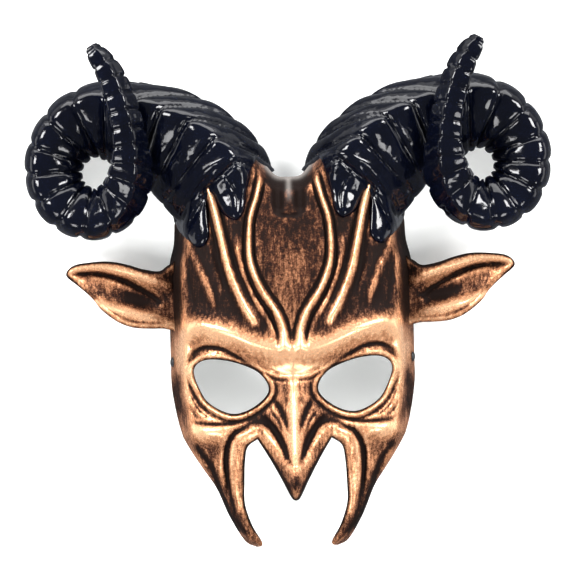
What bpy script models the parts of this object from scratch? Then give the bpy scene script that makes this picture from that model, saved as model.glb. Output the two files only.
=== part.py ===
"""A ram-horned, pointed-eared half mask, hanging by its elastic strap from a wall hook.

Mask coordinates, in millimetres: x to the viewer's right, z up, h out of the wall towards
the viewer from the plane of the rear rim. In the world the hook is the origin and the mask
faces -Y. Left and right are the viewer's.
"""
import math

import bmesh
import bpy
import numpy as np
from mathutils import Vector
from mathutils.geometry import delaunay_2d_cdt

MM = 0.001
HOOK_Z, HOOK_H = 53.0, 10.0          # where the strap hangs on its hook
GAP = 0.3                            # clearance between touching pieces

# --- driving dimensions of the face -------------------------------------------------
SHELL = 2.4                          # wall of the moulded face
CROWN, CROWN_HALF = 60.0, 82.0       # height and half width of the rounded face
WALL_SLOPE = 4.0                     # side walls rise this steeply from the rim
RIM_EDGE = 2.5                       # thickness of the edge at the rear rim
GRID = 6.5                           # spacing of the faceted surface

NOTCH = [(0, 70.2), (7.6, 71.3), (14.7, 79.2), (17.3, 84.3)]
UNDER_HORN = [(17.3, 84.3), (28, 88), (44, 83), (58, 72), (67, 57), (70.8, 43)]
TEMPLE = [(70.8, 43), (71.5, 31), (74.3, 19), (75, 6), (75, -12), (75, -35), (75, -54),
          (73.5, -66), (70.6, -78), (67.5, -87)]
JAW = [(67.5, -87), (62.5, -95), (55, -106), (47.5, -117.5), (40.2, -134.4),
       (31.4, -149), (24.4, -153.1)]
TUSK_INSIDE = [(24.4, -153.1), (20.7, -149.8), (26.5, -139), (30.5, -126), (30.5, -113),
               (29.8, -100), (28, -91.5), (22.1, -87)]
NOSE_EDGE = [(22.1, -87), (15.5, -97.5), (8, -110.5), (2.5, -121.0), (0, -122.6)]
EYE = [(15, -55.3), (21.5, -46.9), (35, -41.2), (48, -39.2), (56, -41), (59.5, -46.5),
       (56.5, -56.5), (50.5, -65.5), (38, -71.6), (27, -69.6), (17, -62.3)]

BROW = [(0, -32), (12, -31), (22.7, -28), (34, -23), (44, -19.5), (59, -17.5),
        (68, -24), (70, -36)]
CREST_RIDGE = [(16, 84), (15.6, 74), (20, 56), (23.5, 38), (25, 24), (21, 10), (13, -3),
               (6, -14), (4, -23)]
TINE_RIDGE = [(47.5, 64), (44.5, 50), (41.5, 36), (37.5, 18), (31, 2), (23, -12)]
RIDGE_HEIGHT, RIDGE_HALF = 4.0, 3.4

# --- driving dimensions of the horns ------------------------------------------------
# centre line x, z, h and the full width of the horn there, from the forehead to the tip
HORN_LINE = [
    (33, 55, 20, 64), (42.6, 67, 29, 70), (53, 79, 30, 70), (65, 89, 28, 67),
    (81, 98, 24, 62), (99, 104.5, 22, 55), (117, 106, 22, 48), (130, 100, 23, 43),
    (139.5, 87.5, 25, 38), (141.2, 72, 28, 35.5), (134, 57.5, 31, 34), (118.5, 50.5, 35, 32),
    (103.5, 56, 41, 30), (95.5, 68, 47, 28), (93.2, 81, 52, 24.5), (94, 94, 55, 20.5),
    (96.4, 108.5, 57, 19), (100.3, 122.5, 58, 17.5), (106, 135.5, 59, 15.5),
    (112.8, 145.5, 59, 11.5), (115, 149, 59, 6.5)]
HORN_STEP = 9.5                      # distance between the faceted rings
HORN_SEAM = 0.35                     # each half stops this far from the seam
HORN_TRIM = 5.0                      # the hollow is this much narrower than the horn
HORN_ROOT_SOLID, HORN_TIP_SOLID = 5, 3   # rings at either end that are not hollow
HORN_BACK_START = 2                  # the back half leaves out the rings within the face
# half sections, front then back, outer edge first: across and depth as parts of the width
ARCH_FRONT = [(0.5, -0.2), (0.4, 0.06), (0.24, 0.34), (0.02, 0.28), (-0.27, 0.14), (-0.5, -0.12)]
LOOP_FRONT = [(0.5, -0.2), (0.45, 0.08), (0.36, 0.34), (0.05, 0.22), (-0.27, 0.02), (-0.5, -0.15)]
TIP_FRONT = [(0.5, -0.2), (0.32, 0.08), (0.12, 0.36), (-0.18, 0.37), (-0.44, 0.33), (-0.5, -0.12)]
HORN_BACK = [(0.5, -0.2), (0.4, -0.28), (0, -0.3), (-0.4, -0.24), (-0.5, -0.13)]
LOBES = [(23, 82), (24, 74), (27, 60), (27.5, 50), (32.8, 43.2), (38.5, 47), (44, 57),
         (47.5, 64.5), (50.5, 56), (50, 40), (53.8, 27.4), (58.5, 30), (61.5, 40), (60, 53),
         (52, 69), (42, 80.5), (28, 85.5)]
LOBE_RISE = 3.2

# --- driving dimensions of the ears -------------------------------------------------
EAR = [(67, 15), (80.5, 14.2), (90.7, 16.3), (98.7, 18.9), (109, 21.1), (120, 21.1),
       (131.9, 19.2), (136.5, 13.4), (130, 7.1), (124.8, 2.6), (120, -2.3), (116.5, -7.2),
       (111, -12.2), (104, -16.8), (96, -19.5), (86, -20.3), (67, -19.6)]
EAR_H, EAR_TIP_H = 18.0, 23.0        # height of the ear at its root and at its tip
EAR_WALL, EAR_ROOT = 2.6, 12.0       # thickness of the ear's blade and of its root

# --- fittings -----------------------------------------------------------------------
RIVET_Z, RIVET_H = -41.3, 10.0
STRAP_WIDTH, STRAP_THICK = 9.0, 1.2
HORN_SCREWS = [(37, 73), (51, 62)]   # x and z of the two screws that hold each horn
EAR_SCREW_Z, EAR_SCREW_H = -2.0, 9.0
SCREW_R, SCREW_HEAD_R, SCREW_HEAD = 1.4, 3.2, 2.0
SCREW_BITE = 4.5                     # how far a screw goes into the piece that it holds
RIVET_R, RIVET_HEAD_R = 1.3, 3.0
WASHER, WASHER_R = 1.0, 3.8
HOOK_R = 3.0                         # bend of the strap over its hook
PAD_LIFT = 2.0                       # the adhesive and the hollows under a foam pad
SLIDER_AT = 40.0                     # the slider's place on the strap, from the rivet


# ------------------------------------------------------------------------------------
# plane geometry
# ------------------------------------------------------------------------------------
def spline(points, step, closed=False):
    """Points about `step` apart on the Catmull-Rom curve through the given points."""
    pts = np.array(points, float)
    if closed:
        pts = np.vstack([pts[-1:], pts, pts[:2]])
    else:
        pts = np.vstack([2 * pts[0] - pts[1], pts, 2 * pts[-1] - pts[-2]])
    fine = []
    for p0, p1, p2, p3 in zip(pts, pts[1:], pts[2:], pts[3:]):
        for t in np.linspace(0, 1, 12, endpoint=False):
            fine.append(0.5 * (2 * p1 + (p2 - p0) * t + (2 * p0 - 5 * p1 + 4 * p2 - p3) * t**2
                               + (3 * p1 - p0 - 3 * p2 + p3) * t**3))
    fine.append(pts[-2])
    return resample(np.array(fine), step)


def resample(line, step):
    """The same line with evenly spaced points, about `step` apart."""
    run = np.concatenate([[0], np.cumsum(np.linalg.norm(np.diff(line, axis=0), axis=1))])
    count = max(2, round(run[-1] / step) + 1)
    at = np.linspace(0, run[-1], count)
    return np.stack([np.interp(at, run, line[:, k]) for k in range(line.shape[1])], axis=1)


def distance(x, z, line):
    """Distance from each point to an open line of points."""
    best = np.full(np.shape(x), 1e9)
    for (ax, az), (bx, bz) in zip(line[:-1], line[1:]):
        ex, ez = bx - ax, bz - az
        t = np.clip(((x - ax) * ex + (z - az) * ez) / (ex * ex + ez * ez + 1e-12), 0, 1)
        best = np.minimum(best, np.hypot(x - ax - t * ex, z - az - t * ez))
    return best


def inside(x, z, loop):
    """Whether each point lies inside a closed loop."""
    hit = np.zeros(np.shape(x), bool)
    for (ax, az), (bx, bz) in zip(loop, np.roll(loop, -1, axis=0)):
        crosses = (az > z) != (bz > z)
        hit ^= crosses & (x < (bx - ax) * (z - az) / (bz - az + 1e-12) + ax)
    return hit


def smooth_step(low, high, value):
    t = np.clip((value - low) / (high - low), 0, 1)
    return t * t * (3 - 2 * t)


def smooth_min(a, b, k):
    mix = np.clip(0.5 + 0.5 * (b - a) / k, 0, 1)
    return b + (a - b) * mix - k * mix * (1 - mix)


def mirrored(line):
    return np.array(line)[::-1] * [-1, 1]


OUTER_FINE = np.vstack([spline(run, 2) for run in (NOTCH, UNDER_HORN, TEMPLE, JAW)])
GAP_FINE = np.vstack([spline(TUSK_INSIDE, 2), spline(NOSE_EDGE, 2)])
EYE_FINE = spline(EYE, 2, closed=True)
BROW_FINE = spline(BROW, 3)
CREST_FINE = spline(CREST_RIDGE, 3)
TINE_FINE = spline(TINE_RIDGE, 3)


# ------------------------------------------------------------------------------------
# the relief of the face
# ------------------------------------------------------------------------------------
def rim_height(z):
    """Height of the mask's edge: on the rim plane at the temples, clear of it at top and jaw."""
    top = 20 * smooth_step(45, 80, z)
    jaw = 34 * smooth_step(-58, -108, z)
    return RIM_EDGE + top + jaw


def nose(ax, z):
    crest = np.interp(-z, [38, 55, 75, 95, 110, 118, 124], [0, 4, 13, 23, 28, 26, 20])
    half = np.interp(-z, [38, 60, 80, 100, 124], [8, 8, 11, 13, 11])
    return crest * np.exp(-(ax / half) ** 1.5)


def ridges(ax, z):
    """The crest ridges that frame the forehead and the tines between the horn's lobes."""
    fade = smooth_step(-26, -8, z)
    crest = np.exp(-(distance(ax, z, CREST_FINE) / RIDGE_HALF) ** 2)
    tine = np.exp(-(distance(ax, z, TINE_FINE) / RIDGE_HALF) ** 2)
    return RIDGE_HEIGHT * np.maximum(crest, 1.2 * tine) * fade


def features(ax, z):
    """Brow, eye sockets, nose, cheek bones and rolled gap edges, over the rounded face."""
    brow = 6 * np.exp(-(distance(ax, z, BROW_FINE) / 7) ** 2)
    socket = 7 * np.exp(-((ax - 38) / 25) ** 2 - ((z + 55) / 17) ** 2)
    cheek = 4 * np.exp(-((ax - 55) / 13) ** 2 - ((z + 80) / 8) ** 2)
    gap = distance(ax, z, GAP_FINE)
    roll = 2.2 * np.exp(-((gap - 5) / 3) ** 2) - 2 * np.exp(-(gap / 1.5) ** 2)
    return brow - socket + cheek + roll + nose(ax, z) + ridges(ax, z)


def relief(x, z):
    """Height of the face's front surface above the rim plane."""
    ax = np.abs(x)
    form = CROWN * np.sqrt(np.clip(1 - (ax / CROWN_HALF) ** 2.6, 0.02, 1))
    form -= 14 * (np.clip(z + 30, 0, None) / 100) ** 2
    form -= 12 * (np.clip(-60 - z, 0, None) / 90) ** 1.5
    wall = rim_height(z) + WALL_SLOPE * distance(ax, z, OUTER_FINE)
    return smooth_min(wall, form + features(ax, z), 6)


def steepness(x, z):
    """Length of a unit wall thickness measured along h."""
    e = 0.4
    gx = (relief(x + e, z) - relief(x - e, z)) / (2 * e)
    gz = (relief(x, z + e) - relief(x, z - e)) / (2 * e)
    wall = math.hypot(1, WALL_SLOPE)
    at_edge = distance(np.abs(x), z, OUTER_FINE) < 2 * e
    return np.where(at_edge, wall, np.clip(np.sqrt(1 + gx**2 + gz**2), 1, wall))


def inner_relief(x, z):
    """Height of the face's inner surface: a parallel wall that ends flat at the rear rim."""
    floor = rim_height(z) - RIM_EDGE
    return np.maximum(relief(x, z) - SHELL * steepness(x, z), floor)


# ------------------------------------------------------------------------------------
# meshes
# ------------------------------------------------------------------------------------
def world(x, z, h):
    return Vector((x * MM, (HOOK_H - h) * MM, (z - HOOK_Z) * MM))


def new_object(name, bm, colour, roughness, metallic):
    mesh = bpy.data.meshes.new(name)
    bmesh.ops.recalc_face_normals(bm, faces=bm.faces)
    bm.to_mesh(mesh)
    bm.free()
    material = bpy.data.materials.new(name)
    material.use_nodes = True
    shader = material.node_tree.nodes["Principled BSDF"]
    shader.inputs["Base Color"].default_value = (*colour, 1)
    shader.inputs["Roughness"].default_value = roughness
    shader.inputs["Metallic"].default_value = metallic
    mesh.materials.append(material)
    thing = bpy.data.objects.new(name, mesh)
    bpy.context.scene.collection.objects.link(thing)
    return thing


def triangulate(loops, grid, extra=()):
    """Triangles over the region inside the first loop and outside the others."""
    points, edges = [], []
    for loop in loops:
        start = len(points)
        points += [tuple(p) for p in loop]
        edges += [(start + k, start + (k + 1) % len(loop)) for k in range(len(loop))]
    taken = np.array(points)
    outer = np.array(loops[0])
    low, high = outer.min(axis=0), outer.max(axis=0)
    rows = np.arange(low[1], high[1], grid * math.sqrt(0.75))
    field = [(x + (k % 2) * grid / 2, z) for k, z in enumerate(rows)
             for x in np.arange(low[0] + 0.37 * grid, high[0], grid)]
    for group, clear in ((extra, 0.25), (field, 0.55)):
        cand = np.array(group, float).reshape(-1, 2)
        if not len(cand):
            continue
        keep = inside(cand[:, 0], cand[:, 1], outer)
        for hole in loops[1:]:
            keep &= ~inside(cand[:, 0], cand[:, 1], np.array(hole))
        for p in cand[keep]:
            if np.min(np.hypot(*(taken - p).T)) > clear * grid:
                taken = np.vstack([taken, p])
    verts, _, faces, _, _, _ = delaunay_2d_cdt([Vector(p) for p in taken], edges, [], 0, 1e-6)
    flat = np.array([tuple(v) for v in verts])
    mid = np.array([flat[list(f)].mean(axis=0) for f in faces])
    keep = inside(mid[:, 0], mid[:, 1], outer)
    for hole in loops[1:]:
        keep &= ~inside(mid[:, 0], mid[:, 1], np.array(hole))
    return flat, [list(f) for f, good in zip(faces, keep) if good]


def height_solid(loops, grid, top, bottom, extra=(), side=1, grow=0):
    """A closed solid between two heights over the region that the loops bound."""
    flat, faces = triangulate(loops, grid, extra)
    bm = bmesh.new()
    x, z = flat[:, 0], flat[:, 1]
    front = [bm.verts.new(world(side * px, pz, h)) for px, pz, h in zip(x, z, top(x, z))]
    back = [bm.verts.new(world(side * px, pz, h)) for px, pz, h in zip(x, z, bottom(x, z))]
    for f in faces:
        bm.faces.new([front[k] for k in f])
        bm.faces.new([back[k] for k in reversed(f)])
    twin = dict(zip(front, back))
    walls = []
    for edge in [e for e in bm.edges if e.is_boundary and e.verts[0] in twin]:
        a, b = edge.verts
        walls.append(bm.faces.new([a, b, twin[b], twin[a]]))
    bmesh.ops.delete(bm, geom=[v for v in bm.verts if not v.link_faces], context="VERTS")
    bmesh.ops.recalc_face_normals(bm, faces=bm.faces)
    if grow:
        bm.normal_update()
        rim = {v: sum((f.normal for f in v.link_faces if f in walls), Vector()).normalized()
               for v in {v for f in walls for v in f.verts}}
        for v, out in rim.items():
            v.co += out * grow * MM
    return bm


def cutter(name, bm):
    thing = new_object(name, bm, (0.5, 0.5, 0.5), 0.5, 0)
    thing.hide_render = True
    thing.display_type = "WIRE"
    return thing


def boolean(thing, tool, operation="DIFFERENCE"):
    mod = thing.modifiers.new(tool.name, "BOOLEAN")
    mod.operation = operation
    mod.solver = "EXACT"
    mod.object = tool


def rod_mesh(start, direction, sections, segments=16):
    """A turned solid along `direction`: sections are (distance along it, radius), in mm."""
    bm = bmesh.new()
    axis = Vector(direction).normalized()
    side = axis.orthogonal().normalized()
    other = axis.cross(side)
    rings = []
    for along, radius in sections:
        centre = start + axis * along * MM
        rings.append([bm.verts.new(centre + (side * math.cos(a) + other * math.sin(a)) * radius * MM)
                      for a in np.arange(segments) * math.tau / segments])
    for low, high in zip(rings, rings[1:]):
        for k in range(segments):
            m = (k + 1) % segments
            bm.faces.new([low[k], low[m], high[m], high[k]])
    bm.faces.new(rings[0][::-1])
    bm.faces.new(rings[-1])
    return bm


def rod(name, start, direction, sections, colour, roughness, metallic):
    return new_object(name, rod_mesh(start, direction, sections), colour, roughness, metallic)


def ring_mesh(start, direction, length, inner, outer, segments=16):
    """A flat washer: a ring of the given radii and thickness, in mm."""
    bm = bmesh.new()
    axis = Vector(direction).normalized()
    side = axis.orthogonal().normalized()
    other = axis.cross(side)
    rings = []
    for along, radius in ((0, inner), (0, outer), (length, outer), (length, inner)):
        centre = start + axis * along * MM
        rings.append([bm.verts.new(centre + (side * math.cos(a) + other * math.sin(a)) * radius * MM)
                      for a in np.arange(segments) * math.tau / segments])
    for low, high in zip(rings, rings[1:] + rings[:1]):
        for k in range(segments):
            m = (k + 1) % segments
            bm.faces.new([low[k], low[m], high[m], high[k]])
    return bm


def cell_solid(breaks, filled, place):
    """The closed solid of the filled cells of a box grid; place maps its corners."""
    bm = bmesh.new()
    corners = {}

    def corner(key):
        if key not in corners:
            corners[key] = bm.verts.new(place(*(breaks[n][key[n]] for n in range(3))))
        return corners[key]

    for cell in filled:
        for axis in range(3):
            u, v = (axis + 1) % 3, (axis + 2) % 3
            for step in (0, 1):
                near = list(cell)
                near[axis] += 2 * step - 1
                if tuple(near) in filled:
                    continue
                keys = []
                for du, dv in ((0, 0), (1, 0), (1, 1), (0, 1)):
                    key = list(cell)
                    key[axis] += step
                    key[u] += du
                    key[v] += dv
                    keys.append(tuple(key))
                bm.faces.new([corner(k) for k in (keys if step else keys[::-1])])
    return bm


# ------------------------------------------------------------------------------------
# the face
# ------------------------------------------------------------------------------------
def face_loops(step):
    runs = [spline(run, step) for run in (NOTCH, UNDER_HORN, TEMPLE, JAW, TUSK_INSIDE, NOSE_EDGE)]
    half = np.vstack([run[:-1] for run in runs] + [runs[-1][-1:]])
    eye = spline(EYE, step, closed=True)[:-1]
    return [np.vstack([half, mirrored(half)[1:-1]]), eye, mirrored(eye)]


def beside(line, offset):
    """The line moved sideways."""
    along = np.gradient(line, axis=0)
    along /= np.linalg.norm(along, axis=1)[:, None]
    return line + offset * np.stack([along[:, 1], -along[:, 0]], axis=1)


def relief_lines():
    """Points where the faceted surface needs corners: the side wall's edges and the ridges."""
    outline = np.vstack([spline(run, 6) for run in (NOTCH, UNDER_HORN, TEMPLE, JAW)])
    half = [beside(outline, 1.7), beside(outline, 5.5), spline(BROW, 7)]
    for ridge in (CREST_RIDGE, TINE_RIDGE):
        line = spline(ridge, 7)
        half += [line, beside(line, 4.2), beside(line, -4.2)]
    edge = np.vstack([spline(TUSK_INSIDE, 6), spline(NOSE_EDGE, 6)])
    half.append(beside(edge, 4.5))
    half = np.vstack(half)
    return np.vstack([half, half * [-1, 1]])


def face_mesh(top, bottom, grow=0):
    return height_solid(face_loops(4.5), GRID, top, bottom, relief_lines(), grow=grow)


def face_trim(name):
    """What a piece seated on the face is cut with: everything behind the face's front."""
    bm = face_mesh(lambda x, z: relief(x, z) + GAP * steepness(x, z),
                   lambda x, z: np.full(x.shape, -60.0), grow=GAP)
    return cutter(name, bm)


def wall_normal(x, z):
    """The outward direction of the face's surface, in world axes, for x above 0."""
    e = 0.5
    one = np.array([float(x)])
    two = np.array([float(z)])
    gx = (relief(one + e, two) - relief(one - e, two))[0] / (2 * e)
    gz = (relief(one, two + e) - relief(one, two - e))[0] / (2 * e)
    return Vector((-gx, -1, -gz)).normalized()


def side_wall_x(h):
    """Where the temple's side wall stands at height h."""
    return 75 - (h - RIM_EDGE) / WALL_SLOPE


def on_face(x, z, side):
    """Point and outward direction on the face's front surface, on either side."""
    h = relief(np.array([float(x)]), np.array([float(z)]))[0]
    out = wall_normal(x, z)
    return world(side * x, z, h), Vector((side * out.x, out.y, out.z))


def drill(name, x, z, side, radius, depth):
    """A cutter for a hole across the shell and into the piece on it."""
    spot, out = on_face(x, z, side)
    return cutter(name, rod_mesh(spot - out * 8 * MM, out, [(0, radius), (8 + depth, radius)], 12))


# ------------------------------------------------------------------------------------
# the horns
# ------------------------------------------------------------------------------------
def horn_front(part):
    """The front half section at a part of the way from root (0) to tip (1)."""
    arch, loop, tip = (np.array(s) for s in (ARCH_FRONT, LOOP_FRONT, TIP_FRONT))
    first = smooth_step(0.22, 0.42, part)
    last = smooth_step(0.6, 0.74, part)
    return (arch * (1 - first) + loop * first) * (1 - last) + tip * last


def horn_sections(half):
    """Rings of (x, z, h) points, outside and hollow, of one half of the horn."""
    line = spline(HORN_LINE, HORN_STEP)
    along = np.gradient(line[:, :2], axis=0)
    along /= np.linalg.norm(along, axis=1)[:, None]
    outward = np.stack([-along[:, 1], along[:, 0]], axis=1)
    shells = []
    for hollow in (False, True):
        rings = []
        for k, (x, z, h, width) in enumerate(line):
            shape = horn_front(k / (len(line) - 1)) if half == "front" else np.array(HORN_BACK)
            size = max(width - HORN_TRIM, 0.4 * width) if hollow else width
            ring = shape * size
            seam = HORN_SEAM if half == "front" else -HORN_SEAM
            ring[[0, -1], 1] = np.array([-0.2, -0.13]) * width + seam
            across, depth = ring[:, :1], ring[:, 1]
            flat = np.array([x, z]) + across * outward[k]
            rings.append(np.column_stack([flat, h + depth]))
        shells.append(rings)
    return shells


def horn_half_mesh(half, side):
    """A half shell of the horn: hollow between its solid root and its solid tip."""
    outside, hollow = horn_sections(half)
    if half == "back":
        outside, hollow = outside[HORN_BACK_START:], hollow[HORN_BACK_START:]
    bm = bmesh.new()
    first, last = HORN_ROOT_SOLID, len(outside) - 1 - HORN_TIP_SOLID
    out = [[bm.verts.new(world(side * x, z, h)) for x, z, h in ring] for ring in outside]
    inn = {k: [bm.verts.new(world(side * x, z, h)) for x, z, h in hollow[k]]
           for k in range(first, last + 1)}
    for k in range(len(out) - 1):
        low, high = out[k], out[k + 1]
        for m in range(len(low) - 1):
            bm.faces.new([low[m], low[m + 1], high[m + 1], high[m]])
        if first <= k < last:
            deep, next_deep = inn[k], inn[k + 1]
            for m in range(len(deep) - 1):
                bm.faces.new([deep[m], next_deep[m], next_deep[m + 1], deep[m + 1]])
            for m in (0, -1):
                bm.faces.new([low[m], high[m], next_deep[m], deep[m]])
        else:
            at_end = k if k == last else k + 1
            if (k == last or k + 1 == first):
                lip = [inn[at_end][0], inn[at_end][-1]]
                pair = [low[0], *lip, low[-1], high[-1], high[0]] if k == last else \
                    [low[0], low[-1], high[-1], lip[1], lip[0], high[0]]
                bm.faces.new(pair)
            else:
                bm.faces.new([low[0], low[-1], high[-1], high[0]])
    bm.faces.new(inn[first])
    bm.faces.new(inn[last])
    bm.faces.new(out[0])
    bm.faces.new(out[-1])
    bmesh.ops.triangulate(bm, faces=bm.faces)
    return bm


def lobes_mesh(side):
    """The black lobes that run from the horn down onto the forehead."""
    edge = spline(LOBES, 4, closed=True)
    rim = np.vstack([edge, edge[:1]])

    def top(x, z):
        return relief(x, z) + 1 + LOBE_RISE * smooth_step(0, 5, distance(x, z, rim))

    return height_solid([edge[:-1]], 6, top, lambda x, z: relief(x, z) - 4, side=side)


def make_horn(side, name, trim):
    colour = (0.012, 0.013, 0.022)
    front = new_object(name + "_horn_front_shell", horn_half_mesh("front", side), colour, 0.12, 0)
    back = new_object(name + "_horn_back_shell", horn_half_mesh("back", side), colour, 0.12, 0)
    boolean(front, cutter(name + "_lobes", lobes_mesh(side)), "UNION")
    boolean(front, trim)
    boolean(back, trim)
    for k, (x, z) in enumerate(HORN_SCREWS, 1):
        boolean(front, drill(f"{name}_horn_pilot_{k}", x, z, side, SCREW_R + GAP, SCREW_BITE + 0.6))
    return front, back


# ------------------------------------------------------------------------------------
# the ears
# ------------------------------------------------------------------------------------
def ear_front(x, z):
    """The ear's front: a dished leaf with a rolled rim."""
    edge = distance(x, z, spline(EAR, 2))
    plane = np.interp(x, [70, 136], [EAR_H, EAR_TIP_H])
    rim = 3 * np.exp(-((edge - 3) / 2.6) ** 2) - 1.2 * np.exp(-(edge / 1.2) ** 2)
    return plane + rim - 4 * smooth_step(3, 12, edge)


def ear_back(x, z):
    thick = EAR_WALL + (EAR_ROOT - EAR_WALL) * (1 - smooth_step(80, 98, x))
    return ear_front(x, z) - thick


def make_ear(side, name, trim):
    outline = spline(EAR, 4)
    lines = beside(spline(EAR, 5), 3.2)
    mesh = height_solid([outline], 5.5, ear_front, ear_back, lines, side=side)
    ear = new_object(name + "_ear", mesh, (0.45, 0.2, 0.09), 0.4, 0.7)
    boolean(ear, trim)
    x = side_wall_x(EAR_SCREW_H)
    boolean(ear, drill(name + "_ear_pilot", x, EAR_SCREW_Z, side, SCREW_R + GAP, SCREW_BITE + 0.6))
    return ear


# ------------------------------------------------------------------------------------
# screws, rivets, strap and pads
# ------------------------------------------------------------------------------------
def make_screw(name, x, z, side):
    """A pan-head screw from inside the shell, square to its wall."""
    spot, out = on_face(x, z, side)
    seat = -SHELL - GAP * 2
    sections = [(seat - SCREW_HEAD, 0.7 * SCREW_HEAD_R), (seat - 0.6 * SCREW_HEAD, SCREW_HEAD_R),
                (seat, SCREW_HEAD_R), (seat, SCREW_R), (SCREW_BITE - 1, SCREW_R),
                (SCREW_BITE, 0.4)]
    return rod(name, spot, out, sections, (0.3, 0.3, 0.3), 0.35, 1)


def make_rivet(side, name):
    """A strap rivet: black domed head outside, then shell, strap, washer and upset tail."""
    spot, out = on_face(side_wall_x(RIVET_H), RIVET_Z, side)
    depth = SHELL + STRAP_THICK + WASHER + 3 * GAP
    sections = [(-GAP - 2.4, 0.8), (-GAP - 2, 2), (-GAP - 1, 2.8), (-GAP, RIVET_HEAD_R),
                (-GAP, RIVET_R), (depth, RIVET_R), (depth, 2.2), (depth + 0.8, 2), (depth + 1.1, 1)]
    rivet = rod(name + "_strap_rivet", spot, -out, sections, (0.02, 0.02, 0.02), 0.3, 0.3)
    start = spot - out * (SHELL + STRAP_THICK + 2 * GAP) * MM
    washer = new_object(name + "_strap_washer",
                        ring_mesh(start, -out, WASHER, RIVET_R + GAP, WASHER_R),
                        (0.5, 0.5, 0.5), 0.3, 1)
    return rivet, washer


def strap_end():
    """Centre of the strap at the right rivet (x, h) and the tilt of the wall there."""
    out = wall_normal(side_wall_x(RIVET_H), RIVET_Z)
    sink = SHELL + GAP + STRAP_THICK / 2
    x = side_wall_x(RIVET_H) - out.x * sink
    h = RIVET_H + out.y * sink
    return x, h, math.atan2(-out.y, out.x)


def strap_run():
    """The right half of the strap, from the hook down past the rivet: (x, z) points."""
    x, _, _ = strap_end()
    knee = np.array([x, RIVET_Z + 9])
    top = np.array([0.0, HOOK_Z - HOOK_R])
    slope = math.atan2(top[1] - knee[1], knee[0] - top[0])
    arc = [(HOOK_R * math.sin(a), top[1] + HOOK_R * math.cos(a))
           for a in np.linspace(0, math.pi / 2 - slope + 0.6, 4)]
    arc = [p for p in arc if math.atan2(p[0], p[1] - top[1]) <= math.pi / 2]
    start = np.array(arc[-1])
    straight = [start + (knee - start) * t for t in (0.04, 0.25, 0.5, 0.75, 0.93)]
    foot = [(x, RIVET_Z + 6), (x, RIVET_Z + 3), (x, RIVET_Z), (x, RIVET_Z - 3), (x, RIVET_Z - 6)]
    return np.array([*arc, *straight, *foot])


def make_strap():
    """The flat elastic: over the hook and down to both rivets, its ends flat on the walls."""
    run = strap_run()
    _, h_end, tilt = strap_end()
    path = np.vstack([run[::-1] * [-1, 1], run[1:]])
    bm = bmesh.new()
    rings = []
    along = np.gradient(path, axis=0)
    along /= np.linalg.norm(along, axis=1)[:, None]
    for (x, z), (ax, az) in zip(path, along):
        near = float(smooth_step(RIVET_Z + 26, RIVET_Z + 7, z))
        turn = tilt * near
        h = HOOK_H + (h_end - HOOK_H) * near
        flat = np.array([-az, ax, 0])
        wide = np.array([0, 0, 1.0])
        normal = flat * math.cos(turn) + wide * math.sin(turn)
        width = wide * math.cos(turn) - flat * math.sin(turn)
        ring = []
        for a, b in ((-1, -1), (1, -1), (1, 1), (-1, 1)):
            p = np.array([x, z, h]) + a * width * STRAP_WIDTH / 2 + b * normal * STRAP_THICK / 2
            ring.append(bm.verts.new(world(*p)))
        rings.append(ring)
    for low, high in zip(rings, rings[1:]):
        for m in range(4):
            n = (m + 1) % 4
            bm.faces.new([low[m], low[n], high[n], high[m]])
    bm.faces.new(rings[0])
    bm.faces.new(rings[-1])
    strap = new_object("elastic_strap", bm, (0.02, 0.02, 0.022), 0.8, 0)
    for side, name in ((-1, "left"), (1, "right")):
        spot, out = on_face(side_wall_x(RIVET_H), RIVET_Z, side)
        hole = rod_mesh(spot - out * 8 * MM, out, [(0, RIVET_R + GAP), (8, RIVET_R + GAP)], 12)
        boolean(strap, cutter(name + "_strap_hole", hole))
    return strap


def make_slider():
    """The length slider on the right run: two bars outside the strap and one inside."""
    run = strap_run()
    low, high = run[-6], run[4]
    along = (high - low) / np.linalg.norm(high - low)
    centre = low + along * SLIDER_AT
    out = np.array([along[1], -along[0]])
    if out[0] < 0:
        out = -out
    breaks = ([-6, -4.2, -1.2, 1.2, 4.2, 6], [-2.2, -1, 1, 2.2], [-6.6, -4.9, 4.9, 6.6])
    filled = {(i, j, k) for i in range(5) for j in range(3) for k in (0, 2)}
    filled |= {(0, 2, 1), (4, 2, 1), (2, 0, 1)}
    pivot = world(*centre, HOOK_H)

    def place(t, n, w):
        p = centre + along * t + out * n
        return world(*p, HOOK_H + w) - pivot

    slider = new_object("strap_slider", cell_solid(breaks, filled, place), (0.03, 0.03, 0.03), 0.4, 0)
    slider.location = pivot
    return slider


def pad_mesh(outline, thick):
    loop = spline(outline, 5, closed=True)[:-1]
    lift = PAD_LIFT
    return height_solid([loop], 6, lambda x, z: inner_relief(x, z) - lift,
                        lambda x, z: inner_relief(x, z) - lift - thick)


def make_pads():
    brow = [(-42, 10), (-38, 1), (0, -4), (38, 1), (42, 10), (38, 19), (0, 15), (-38, 19)]
    nose_pad = [(-9, -48), (0, -46), (9, -48), (9, -60), (0, -64), (-9, -60)]
    new_object("brow_foam_pad", pad_mesh(brow, 5), (0.05, 0.05, 0.05), 0.95, 0)
    new_object("nose_foam_pad", pad_mesh(nose_pad, 4), (0.05, 0.05, 0.05), 0.95, 0)


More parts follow.
